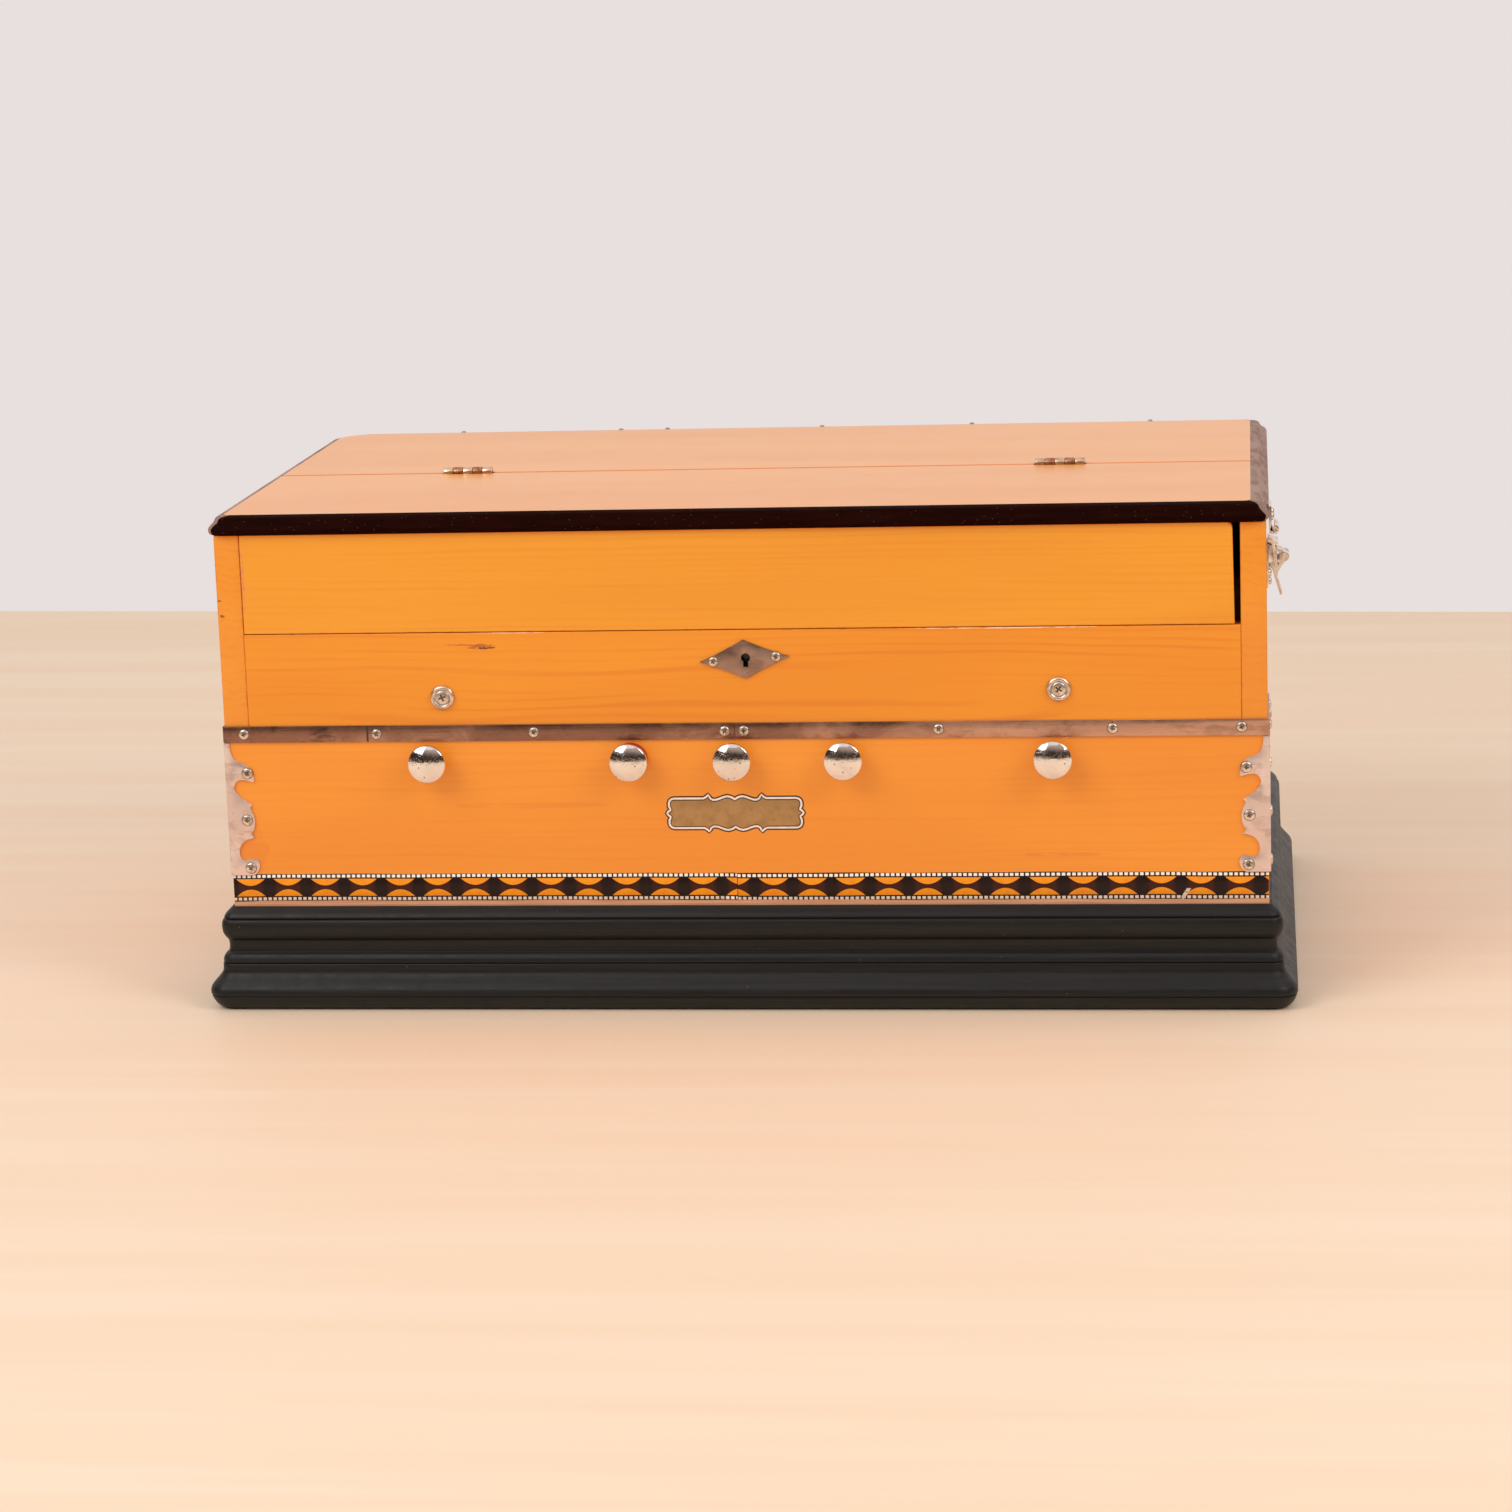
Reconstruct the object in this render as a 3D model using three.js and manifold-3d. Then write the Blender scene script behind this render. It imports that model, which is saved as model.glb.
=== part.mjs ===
// Indian harmonium, closed, as a portable wooden case on a moulded plinth.
// Millimetres, +Z up, the player sits at -Y. The origin is the middle of the plinth's underside.
import * as THREE from 'three';
import { mergeVertices } from 'three/addons/utils/BufferGeometryUtils.js';
import Module from 'manifold-3d';

const wasm = await Module();
wasm.setup();

// Driving dimensions of the case
const caseWidth = 595;
const caseDepth = 346;
const plinthHeight = 59;
const lowerFrontHeight = 101.7;
const keyslipHeight = 58.1;
const fasciaHeight = 57.7;
const frontThickness = 12;
const sideThickness = 14.5;
const backThickness = 10;

// Clearances shared by the pieces
const seatGap = 0.3;
const cutOverrun = 2;

// Facets of a full turn on turned parts, and of a quarter turn on rounded corners
const fineFacets = 24;
const pinFacets = 12;
const cornerSteps = 5;
const curveSteps = 4;

// Plinth: a moulded frame with a bottom board. The profile runs from the top edge to the underside.
const plinth = {
  sideOverhang: 15.7,
  frontOverhang: 16,
  rearOverhang: 12,
  cornerRadius: 12,
  sharpRadius: 3,
  floor: 8,
  wallInset: 13,
  frontWall: 22,
  rearWall: 60,
};
// Each pair is a share of the overhang and a share of the plinth's height
const plinthProfileShares = [
  [0.1, 1], [0.2, 0.975], [0.33, 0.945], [0.42, 0.905], [0.39, 0.893], [0.46, 0.88], [0.505, 0.84],
  [0.505, 0.785], [0.46, 0.735], [0.37, 0.695], [0.31, 0.673], [0.285, 0.62], [0.3, 0.575],
  [0.32, 0.557], [0.41, 0.54], [0.49, 0.505], [0.515, 0.465], [0.48, 0.455], [0.53, 0.44],
  [0.55, 0.37], [0.67, 0.32], [0.82, 0.275], [0.95, 0.23], [1, 0.185], [0.99, 0.158], [0.95, 0.15],
  [0.97, 0.138], [0.89, 0.084], [0.76, 0.035], [0.56, 0],
];

// Lid: two hinged halves with a moulded edge. The profile runs from the underside to the top flat.
const lid = {
  thickness: 10.5,
  lip: 3.7,
  setback: 8.6,
  cornerRadius: 9,
  sharpRadius: 4,
  hingeLine: 159,
  seam: 0.6,
};
// Each pair is a share of the way out from the flat's edge to the lip and a share of the thickness
const lidProfileShares = [
  [0.8, 0], [0.91, 0.06], [0.98, 0.16], [1, 0.28], [0.97, 0.38], [0.88, 0.48], [0.76, 0.57],
  [0.65, 0.66], [0.59, 0.76], [0.52, 0.87], [0.38, 0.94], [0, 1],
];

// Lid hinges: barrels let into round-ended slots along the hinge line
const hinge = {
  spread: 177,
  length: 30,
  knuckles: 5,
  radius: 3,
  rise: 0.6,
  pinRadius: 1,
  slotClearance: 0.4,
  leafThickness: 2.1,
  leafDrop: 1.2,
};

// Fascia: the upright board that hangs under the front edge of the lid
const fascia = { thickness: 10, leftGap: 1.2, rightGap: 3.3, bottomGap: 0.4 };

// Lock escutcheon on the keyslip
const escutcheon = {
  centreX: 4.6,
  topDrop: 17.8,
  halfWidth: 26,
  halfHeight: 11.5,
  thickness: 1.2,
  waistShare: 0.42,
  keyholeRadius: 2.2,
  keyholeSlot: 2.2,
  keyholeDrop: 7,
  keyholeDepth: 8,
};

// Steel strip over the seam, with a return round each corner
const strip = { seamLap: 4.6, height: 9.5, thickness: 1.2, sideReturn: 70 };

// Scalloped corner brackets, an L in plan, below the strip
const bracket = { height: 77.9, stripGap: 0.4, width: 17.3, thickness: 1.2, bandShare: 0.22 };
// Start of the scalloped edge, then a control point and an end point for each curve, as shares
// of the leaf's width from the corner and of its height from the foot
const bracketStartShares = [0.22, 0.955];
const bracketCurveShares = [
  [[0.29, 0.87], [0.5, 0.858]],
  [[0.88, 0.845], [0.985, 0.738]],
  [[1.01, 0.7], [0.9, 0.708]],
  [[0.73, 0.728], [0.535, 0.724]],
  [[0.34, 0.72], [0.3, 0.667]],
  [[0.32, 0.605], [0.885, 0.536]],
  [[0.79, 0.525], [0.81, 0.506]],
  [[0.95, 0.46], [0.935, 0.404]],
  [[0.92, 0.345], [0.8, 0.319]],
  [[0.83, 0.295], [0.91, 0.284]],
  [[0.36, 0.272], [0.357, 0.17]],
  [[0.37, 0.11], [0.56, 0.112]],
  [[0.8, 0.13], [0.945, 0.122]],
  [[1.06, 0.09], [1, 0.055]],
  [[0.93, 0.01], [0.79, 0]],
];

// Stops: a turned knob on a rod that draws a wooden slide off its wind hole
const stop = {
  seamDrop: 15.7,
  proud: 15.8,
  headRadius: 11,
  collarRadius: 5.2,
  rodRadius: 3.2,
  slideFront: 58,
  slideLength: 34,
  slideWidth: 28,
  slideHeight: 9.4,
  windHoleRadius: 10,
};
// How far along the front each stop stands, as a share of half the case's width
const stopPlaceShares = [-0.598, -0.208, -0.01, 0.202, 0.598];
// Knob profile: shares of the head's radius and of the length that stands proud of the case
const knobProfileShares = [
  [0, 1], [0.4, 0.985], [0.72, 0.9], [0.93, 0.76], [1, 0.61], [0.94, 0.48], [0.72, 0.39],
  [0.44, 0.33], [0.38, 0.22], [0.42, 0.1],
];

// Reed chamber: the horizontal box under the keys, with rails, slots and brass reeds
const chamber = {
  deckDrop: 22,
  deckThickness: 10,
  floorThickness: 8,
  wall: 8,
  frontSetback: 18,
  rearSetback: 10,
  panLength: 80,
  panHeight: 10,
  frontRailSetback: 8.5,
  frontRailLength: 20,
  railWidth: 16,
  railCrown: 5.7,
  slotWidth: 7,
  slotLength: 36,
  reedWidth: 9,
  reedLength: 46,
  reedThickness: 3,
};
const cheek = { width: 35.5, rise: 8, noseRadius: 9 };

// Keyboard: three octaves from C to C
const keyboard = {
  naturals: 22,
  gap: 1,
  frontGap: 1.5,
  rearGap: 25.5,
  headLength: 46,
  balanceShare: 0.538,
  coverSetback: 3.5,
  rise: 1.2,
  dip: 7.8,
  bodyHeight: 14,
  coverHeight: 2,
  coverLip: 1.2,
  tailHeight: 11,
  sharpGap: 4,
  sharpHeight: 12,
  sharpSideInset: 1.3,
  sharpFrontInset: 4,
  palletWidthShare: 0.84,
  palletRearGap: 5,
};
const naturalNames = ['c', 'd', 'e', 'f', 'g', 'a', 'b'];
const naturalSemitones = [0, 2, 4, 5, 7, 9, 11];
const semitonesInOctave = 12;

// Bellows: a board hinged on the plinth, with folded cloth between it and the back panel
const bellows = {
  room: 36,
  boardThickness: 12,
  sideGap: 3,
  footGap: 3,
  headGap: 4.5,
  folds: 5,
  foldInset: 5,
  foldDepth: 9,
  hingeRadius: 2,
  hingeLength: 46,
  hingeSpread: 190,
  leafHeight: 19,
  leafThickness: 1.2,
  airHoleRadius: 11,
  airHoleRise: 150,
  airHolePitch: 62,
  windowWidth: 56,
  windowHeight: 24,
  windowRise: 30,
};
const airHoleColumnShares = [-2, -1, 0, 1, 2];

// Draw latch on the right side: a keeper on the lid and a base, lever and bail on the case
const latch = {
  setback: 20,
  plateWidth: 26,
  plateThickness: 1.2,
  plateGap: 1,
  plateFall: 16.5,
  pivotOut: 10,
  pivotDrop: 22,
  pivotRadius: 1.2,
  earRadius: 2.6,
  leverWidth: 12,
  lugGap: 0.4,
  lugThickness: 1.2,
  linkRadius: 1,
  linkWidth: 1.4,
  linkClearance: 0.8,
  bailRise: 8.5,
  bailStock: 0.9,
  bailDip: 1.1,
  keeperGap: 1.5,
  keeperRise: 7,
  keeperThickness: 2,
  keeperWidth: 22,
  curlRadius: 2.2,
  curlRise: 4.5,
};
// Side profile of the latch, as shares of the pivot's distance from the case: distance out from the
// case and, for the lever and the link, height over the pivot
const leverOutlineShares = [
  [0.34, 0.39], [0.55, 0.49], [0.91, 0.33], [1.17, 0.16], [1.26, 0], [1.21, -0.16], [1.06, -0.26],
  [0.83, -0.57], [0.64, -0.91], [0.59, -1.16], [0.87, -2.14], [0.74, -2.18], [0.44, -1.16],
  [0.33, -0.76], [0.21, -0.5], [0.2, -0.15],
];
const linkPlaceShares = [0.55, -0.45];
const bailTopShare = 0.36;
const bailReachShare = 0.29;

// Places that follow from the sizes above
const caseHalf = caseWidth / 2;
const innerHalf = caseHalf - sideThickness;
const seamHeight = plinthHeight + lowerFrontHeight;
const keyslipTop = seamHeight + keyslipHeight;
const caseTop = keyslipTop + fasciaHeight;
const caseFront = (plinth.frontOverhang - plinth.rearOverhang - caseDepth) / 2;
const caseRear = caseFront + caseDepth;
const lidTop = caseTop + lid.thickness;
const lidEdge = caseHalf + lid.lip;
const hingeY = caseFront + lid.hingeLine;
const hingeZ = lidTop + hinge.rise;
const slotFloor = hingeZ - hinge.radius - 2 * hinge.slotClearance;
const stripBottom = seamHeight - strip.seamLap;
const stopPlaces = stopPlaceShares.map((share) => share * caseHalf);
const stopHeight = seamHeight - stop.seamDrop;
const slideFloor = stopHeight - stop.slideHeight / 2;
const backRear = caseRear - bellows.room;
const backFront = backRear - backThickness;
const keysLeft = -innerHalf + cheek.width;
const keyPitch = -2 * keysLeft / keyboard.naturals;
const keyFront = caseFront + frontThickness + keyboard.frontGap;
const keyRear = backFront - keyboard.rearGap;
const balanceY = keyFront + keyboard.balanceShare * (keyRear - keyFront);
const headRear = keyFront + keyboard.headLength;
const coverRear = balanceY - keyboard.coverSetback;
const keyUnderside = keyslipTop + keyboard.rise;
const keyTop = keyUnderside + keyboard.bodyHeight;
const deckTop = keyUnderside - chamber.deckDrop;
const panTop = deckTop + chamber.panHeight;
const palletHalf = (chamber.slotLength + chamber.reedLength) / 4 + chamber.wall / 2;
const panMiddle = keyRear - keyboard.palletRearGap - palletHalf;
const chamberFloor = slideFloor - seatGap;
const octaveWidth = naturalNames.length * keyPitch;
const semitonePitch = octaveWidth / semitonesInOctave;

// Finishes, as seen on the instrument
const finish = (color, roughness, metalness) => new THREE.MeshStandardMaterial({ color, roughness, metalness });
const varnish = finish(0xf29a34, 0.35, 0);
const paleWood = finish(0xd9ab74, 0.7, 0);
const blackLacquer = finish(0x2c2a29, 0.4, 0);
const sheetSteel = finish(0xa79a92, 0.4, 0.9);
const chrome = finish(0xd4d2d0, 0.15, 1);
const ivoryWhite = finish(0xf1ebdb, 0.3, 0);
const ebonyBlack = finish(0x1b1918, 0.3, 0);
const bellowsCloth = finish(0x5a1d22, 0.85, 0);

// Turns a closed three.js geometry into a solid that can be joined and cut
function solid(geometry) {
  const bare = geometry.clone();
  bare.deleteAttribute('normal');
  bare.deleteAttribute('uv');
  const merged = mergeVertices(bare);
  const mesh = new wasm.Mesh({
    numProp: 3,
    vertProperties: Float32Array.from(merged.attributes.position.array),
    triVerts: Uint32Array.from(merged.index.array),
  });
  return new wasm.Manifold(mesh);
}

function geometryOf(body) {
  const mesh = body.getMesh();
  const geometry = new THREE.BufferGeometry();
  geometry.setAttribute('position', new THREE.BufferAttribute(mesh.vertProperties, 3));
  geometry.setIndex(new THREE.BufferAttribute(mesh.triVerts, 1));
  geometry.computeVertexNormals();
  return geometry;
}

const join = (bodies) => bodies.reduce((sum, body) => sum.add(body));
const cut = (body, tools) => tools.reduce((rest, tool) => rest.subtract(tool), body);

// Box from its low and high corner along each axis
function block([x0, x1], [y0, y1], [z0, z1]) {
  const geometry = new THREE.BoxGeometry(x1 - x0, y1 - y0, z1 - z0);
  geometry.translate((x0 + x1) / 2, (y0 + y1) / 2, (z0 + z1) / 2);
  return solid(geometry);
}

// Round bar along one axis, from its middle
function bar(axis, radius, length, [x, y, z], facets) {
  const geometry = new THREE.CylinderGeometry(radius, radius, length, facets);
  if (axis === 'x') geometry.rotateZ(Math.PI / 2);
  if (axis === 'z') geometry.rotateX(Math.PI / 2);
  geometry.translate(x, y, z);
  return solid(geometry);
}

const shapeOf = (points) => new THREE.Shape(points.map(([u, v]) => new THREE.Vector2(u, v)));

// Extrusions of a drawn outline: (y, z) swept along x, (x, z) swept along y, (x, y) swept along z
function sweepX(shape, [x0, x1]) {
  const options = { depth: x1 - x0, bevelEnabled: false, curveSegments: curveSteps };
  const geometry = new THREE.ExtrudeGeometry(shape, options);
  geometry.applyMatrix4(new THREE.Matrix4().set(0, 0, 1, x0, 1, 0, 0, 0, 0, 1, 0, 0, 0, 0, 0, 1));
  return solid(geometry);
}

function sweepY(shape, [y0, y1]) {
  const options = { depth: y1 - y0, bevelEnabled: false, curveSegments: curveSteps };
  const geometry = new THREE.ExtrudeGeometry(shape, options);
  geometry.rotateX(Math.PI / 2);
  geometry.translate(0, y1, 0);
  return solid(geometry);
}

function sweepZ(shape, [z0, z1]) {
  const options = { depth: z1 - z0, bevelEnabled: false, curveSegments: curveSteps };
  const geometry = new THREE.ExtrudeGeometry(shape, options);
  geometry.translate(0, 0, z0);
  return solid(geometry);
}

// Rounded rectangle in plan at one height, counter-clockwise from above
function plateRing([x0, x1], [y0, y1], z, radius) {
  const ring = [];
  const corners = [[x1, y1, 0], [x0, y1, 1], [x0, y0, 2], [x1, y0, 3]];
  for (const [x, y, quarter] of corners) {
    const centreX = x > x0 ? x - radius : x + radius;
    const centreY = y > y0 ? y - radius : y + radius;
    for (let step = 0; step <= cornerSteps; step += 1) {
      const angle = (quarter + step / cornerSteps) * Math.PI / 2;
      ring.push([centreX + radius * Math.cos(angle), centreY + radius * Math.sin(angle), z]);
    }
  }
  return ring;
}

// Skins a stack of rings, each with as many points, and closes both ends
function loft(rings) {
  const count = rings[0].length;
  const index = [];
  for (let level = 0; level + 1 < rings.length; level += 1) {
    for (let i = 0; i < count; i += 1) {
      const a = level * count + i;
      const b = level * count + (i + 1) % count;
      index.push(a, b, b + count, a, b + count, a + count);
    }
  }
  const last = (rings.length - 1) * count;
  for (let i = 1; i + 1 < count; i += 1) {
    index.push(0, i + 1, i, last, last + i, last + i + 1);
  }
  const geometry = new THREE.BufferGeometry();
  geometry.setAttribute('position', new THREE.Float32BufferAttribute(rings.flat(2), 3));
  geometry.setIndex(index);
  const body = solid(geometry);
  return body;
}

function makePlinth() {
  const rings = [...plinthProfileShares].reverse().map(([out, height]) => plateRing(
    [-caseHalf - out * plinth.sideOverhang, caseHalf + out * plinth.sideOverhang],
    [caseFront - out * plinth.frontOverhang, caseRear + out * plinth.rearOverhang],
    height * plinthHeight,
    plinth.sharpRadius + out * (plinth.cornerRadius - plinth.sharpRadius),
  ));
  const well = block(
    [-innerHalf + plinth.wallInset, innerHalf - plinth.wallInset],
    [caseFront + plinth.frontWall, caseRear - plinth.rearWall],
    [plinth.floor, plinthHeight + cutOverrun],
  );
  return loft(rings).subtract(well);
}

// Side board: its lower front is rebated for the lower front board
function makeSidePanel(side) {
  const profile = shapeOf([
    [caseFront + frontThickness, plinthHeight],
    [caseRear, plinthHeight],
    [caseRear, caseTop],
    [caseFront, caseTop],
    [caseFront, seamHeight],
    [caseFront + frontThickness, seamHeight],
  ]);
  return sweepX(profile, side > 0 ? [innerHalf, caseHalf] : [-caseHalf, -innerHalf]);
}

function makeStopPanel() {
  const board = block([-caseHalf, caseHalf], [caseFront, caseFront + frontThickness], [plinthHeight, seamHeight]);
  const middle = caseFront + frontThickness / 2;
  const bores = stopPlaces.map((x) => bar(
    'y', stop.rodRadius + seatGap, frontThickness + cutOverrun, [x, middle, stopHeight], fineFacets,
  ));
  return cut(board, bores);
}

function makeBackPanel() {
  const board = block([-innerHalf, innerHalf], [backFront, backRear], [plinthHeight, caseTop]);
  const windows = [-1, 1].map((side) => block(
    [side * bellows.hingeSpread / 2 - bellows.windowWidth / 2, side * bellows.hingeSpread / 2 + bellows.windowWidth / 2],
    [backFront - cutOverrun, backRear + cutOverrun],
    [plinthHeight + bellows.windowRise, plinthHeight + bellows.windowRise + bellows.windowHeight],
  ));
  return cut(board, windows);
}

// Lozenge with drawn-in sides, pierced for the key
function escutcheonOutline() {
  const { centreX: x, halfWidth: w, halfHeight: h, waistShare: waist } = escutcheon;
  const z = keyslipTop - escutcheon.topDrop;
  const outline = new THREE.Shape();
  outline.moveTo(x - w, z);
  outline.quadraticCurveTo(x - w * waist, z - h * waist, x, z - h);
  outline.quadraticCurveTo(x + w * waist, z - h * waist, x + w, z);
  outline.quadraticCurveTo(x + w * waist, z + h * waist, x, z + h);
  outline.quadraticCurveTo(x - w * waist, z + h * waist, x - w, z);
  return outline;
}

function makeKeyslip() {
  const board = block([-innerHalf, innerHalf], [caseFront, caseFront + frontThickness], [seamHeight, keyslipTop]);
  const plate = sweepY(escutcheonOutline(), [caseFront - escutcheon.thickness, caseFront + escutcheon.thickness]);
  const depth = [caseFront - escutcheon.thickness - cutOverrun, caseFront + escutcheon.keyholeDepth];
  const eyeHeight = keyslipTop - escutcheon.topDrop + escutcheon.keyholeRadius / 2;
  const middle = [escutcheon.centreX, (depth[0] + depth[1]) / 2, eyeHeight];
  const eye = bar('y', escutcheon.keyholeRadius, depth[1] - depth[0], middle, pinFacets);
  const slot = block(
    [escutcheon.centreX - escutcheon.keyholeSlot / 2, escutcheon.centreX + escutcheon.keyholeSlot / 2],
    depth,
    [middle[2] - escutcheon.keyholeDrop, middle[2]],
  );
  return cut(join([board, plate]), [eye, slot]);
}

function makeStrip() {
  const out = caseHalf + strip.thickness;
  const front = caseFront - strip.thickness;
  const rear = caseFront + strip.sideReturn;
  const plan = shapeOf([
    [-out, front], [out, front], [out, rear], [caseHalf, rear],
    [caseHalf, caseFront], [-caseHalf, caseFront], [-caseHalf, rear], [-out, rear],
  ]);
  return sweepZ(plan, [stripBottom, stripBottom + strip.height]);
}

// One leaf of a corner bracket, drawn from the corner inwards along u
function bracketLeaf(cornerU, inwards) {
  const top = stripBottom - bracket.stripGap;
  const foot = top - bracket.height;
  const at = ([out, up]) => [cornerU + inwards * out * bracket.width, foot + up * bracket.height];
  const leaf = new THREE.Shape();
  leaf.moveTo(cornerU, foot);
  leaf.lineTo(cornerU, top);
  leaf.lineTo(cornerU + inwards * bracket.bandShare * bracket.width, top);
  leaf.lineTo(...at(bracketStartShares));
  for (const [control, end] of bracketCurveShares) {
    leaf.quadraticCurveTo(...at(control), ...at(end));
  }
  return leaf;
}

function makeBracket(side) {
  const corner = caseHalf + bracket.thickness;
  const frontLeaf = sweepY(
    bracketLeaf(side * corner, -side),
    [caseFront - bracket.thickness, caseFront],
  );
  const sideLeaf = sweepX(
    bracketLeaf(caseFront - bracket.thickness, 1),
    side > 0 ? [caseHalf, corner] : [-corner, -caseHalf],
  );
  return join([frontLeaf, sideLeaf]);
}

function makeWholeLid() {
  const rings = lidProfileShares.map(([out, height]) => {
    const edge = out * (lid.lip + lid.setback) - lid.setback;
    return plateRing(
      [-caseHalf - edge, caseHalf + edge],
      [caseFront - edge, caseRear + edge],
      caseTop + height * lid.thickness,
      lid.sharpRadius + out * (lid.cornerRadius - lid.sharpRadius),
    );
  });
  return loft(rings);
}

const hingePlaces = [-hinge.spread, hinge.spread];

// Round-ended slots that clear the hinge barrels
function hingeSlots() {
  const radius = hinge.radius + hinge.slotClearance;
  const half = hinge.length / 2 + hinge.slotClearance;
  return hingePlaces.map((x) => {
    const plan = new THREE.Shape();
    plan.absarc(x + half, hingeY, radius, -Math.PI / 2, Math.PI / 2);
    plan.absarc(x - half, hingeY, radius, Math.PI / 2, 3 * Math.PI / 2);
    return sweepZ(plan, [slotFloor, lidTop + cutOverrun]);
  });
}

// The knuckles of one leaf, each with the leaf's own tab down into the slot's floor
function hingeKnuckles(forFront) {
  const pitch = hinge.length / hinge.knuckles;
  const tabFar = hingeY + (forFront ? -1 : 1) * (lid.seam / 2 + hinge.leafThickness);
  const tabNear = hingeY + (forFront ? -1 : 1) * lid.seam / 2;
  const bodies = [];
  for (const place of hingePlaces) {
    for (let i = forFront ? 0 : 1; i < hinge.knuckles; i += 2) {
      const x = place + (i - (hinge.knuckles - 1) / 2) * pitch;
      const half = (pitch - seatGap) / 2;
      bodies.push(bar('x', hinge.radius, 2 * half, [x, hingeY, hingeZ], fineFacets));
      bodies.push(block(
        [x - half, x + half],
        [Math.min(tabFar, tabNear), Math.max(tabFar, tabNear)],
        [slotFloor - hinge.leafDrop, hingeZ],
      ));
    }
  }
  return bodies;
}

const hingePins = (radius, length) => hingePlaces.map(
  (x) => bar('x', radius, length, [x, hingeY, hingeZ], pinFacets),
);

// Keeper plate of the draw latch, with its outward curl
function latchKeeper() {
  const middle = caseFront + latch.setback;
  const ends = [middle - latch.keeperWidth / 2, middle + latch.keeperWidth / 2];
  const outer = lidEdge + latch.plateThickness;
  const plate = block([outer - latch.keeperThickness, outer], ends, [keeperBottom, caseTop + latch.keeperRise]);
  const curl = bar(
    'y', latch.curlRadius, latch.keeperWidth,
    [outer + latch.curlRadius - latch.plateThickness / 2, middle, keeperBottom + latch.curlRise], fineFacets,
  );
  return [plate, curl];
}

function makeLidFront(wholeLid) {
  const reach = caseWidth + caseDepth;
  const frontHalf = block([-reach, reach], [-reach, hingeY - lid.seam / 2], [0, reach]);
  const board = cut(wholeLid.intersect(frontHalf), hingeSlots());
  const dressed = join([board, ...hingeKnuckles(true), ...latchKeeper()]);
  return cut(dressed, hingePins(hinge.pinRadius + seatGap, hinge.length + cutOverrun));
}

function makeLidRear(wholeLid) {
  const reach = caseWidth + caseDepth;
  const rearHalf = block([-reach, reach], [hingeY + lid.seam / 2, reach], [0, reach]);
  const board = cut(wholeLid.intersect(rearHalf), hingeSlots());
  return join([board, ...hingeKnuckles(false), ...hingePins(hinge.pinRadius, hinge.length)]);
}

function makeFascia() {
  return block(
    [-innerHalf + fascia.leftGap, innerHalf - fascia.rightGap],
    [caseFront, caseFront + fascia.thickness],
    [keyslipTop + fascia.bottomGap, caseTop],
  );
}

// Knob, rod and slide of one stop
function makeStop(x) {
  const knob = knobProfileShares.map(
    ([out, along]) => new THREE.Vector2(out * stop.headRadius, along * stop.proud),
  );
  const rodEnd = stop.slideFront + stop.slideLength / 2;
  knob.push(new THREE.Vector2(stop.collarRadius, seatGap));
  knob.push(new THREE.Vector2(stop.rodRadius, seatGap));
  knob.push(new THREE.Vector2(stop.rodRadius, -rodEnd));
  knob.push(new THREE.Vector2(0, -rodEnd));
  const turned = new THREE.LatheGeometry(knob.reverse(), fineFacets);
  turned.rotateX(Math.PI);
  turned.translate(x, caseFront, stopHeight);
  const slide = block(
    [x - stop.slideWidth / 2, x + stop.slideWidth / 2],
    [caseFront + stop.slideFront, caseFront + stop.slideFront + stop.slideLength],
    [slideFloor, slideFloor + stop.slideHeight],
  );
  return join([solid(turned), slide]);
}

// Where each key sits across the keyboard: its head and its narrow shaft
function keyPlaces() {
  const places = [];
  for (let i = 0; i < keyboard.naturals; i += 1) {
    const step = i % naturalNames.length;
    const octave = Math.floor(i / naturalNames.length);
    const octaveLeft = keysLeft + octave * octaveWidth;
    const left = keysLeft + i * keyPitch;
    const right = left + keyPitch;
    const semitone = naturalSemitones[step];
    const isLast = i === keyboard.naturals - 1;
    const sharpBelow = semitone > 0 && semitone - naturalSemitones[step - 1] === 2;
    const next = step + 1 < naturalSemitones.length ? naturalSemitones[step + 1] : semitonesInOctave;
    const sharpAbove = !isLast && next - semitone === 2;
    const shaftLeft = sharpBelow ? octaveLeft + semitone * semitonePitch : left;
    const shaftRight = sharpAbove ? octaveLeft + (semitone + 1) * semitonePitch : right;
    const label = `${naturalNames[step]}${octave + 1}`;
    places.push({ name: `key_${label}`, head: [left, right], shaft: [shaftLeft, shaftRight] });
    if (sharpAbove) {
      places.push({ name: `key_${label}_sharp`, shaft: [shaftRight, shaftRight + semitonePitch] });
    }
  }
  return places;
}

const inset = ([low, high]) => [low + keyboard.gap / 2, high - keyboard.gap / 2];

// The leathered pad under a key's tail that covers its slot
function keyPallet(shaft) {
  const middle = (shaft[0] + shaft[1]) / 2;
  const half = Math.min(shaft[1] - shaft[0], semitonePitch) * keyboard.palletWidthShare / 2;
  return block(
    [middle - half, middle + half],
    [panMiddle - palletHalf, panMiddle + palletHalf],
    [panTop + seatGap, keyUnderside + keyboard.tailHeight / 2],
  );
}

// Side view of a key's lever: full height up to the balance rail, then a lower tail
function keyLever(front, top, x) {
  const tailTop = keyUnderside + keyboard.tailHeight;
  const side = shapeOf([
    [front, keyUnderside], [keyRear, keyUnderside], [keyRear, tailTop],
    [coverRear, tailTop], [coverRear, top], [front, top],
  ]);
  return sweepX(side, x);
}

function makeNaturalKey({ head, shaft }) {
  const shaftX = inset(shaft);
  const coverTop = keyTop + keyboard.coverHeight;
  const bodyFront = keyFront + keyboard.coverLip;
  // The cover's lip oversails the front of the head
  const headSide = shapeOf([
    [bodyFront, keyUnderside], [headRear, keyUnderside], [headRear, coverTop],
    [keyFront, coverTop], [keyFront, keyTop], [bodyFront, keyTop],
  ]);
  return join([sweepX(headSide, inset(head)), keyLever(bodyFront, coverTop, shaftX), keyPallet(shaftX)]);
}

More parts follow.
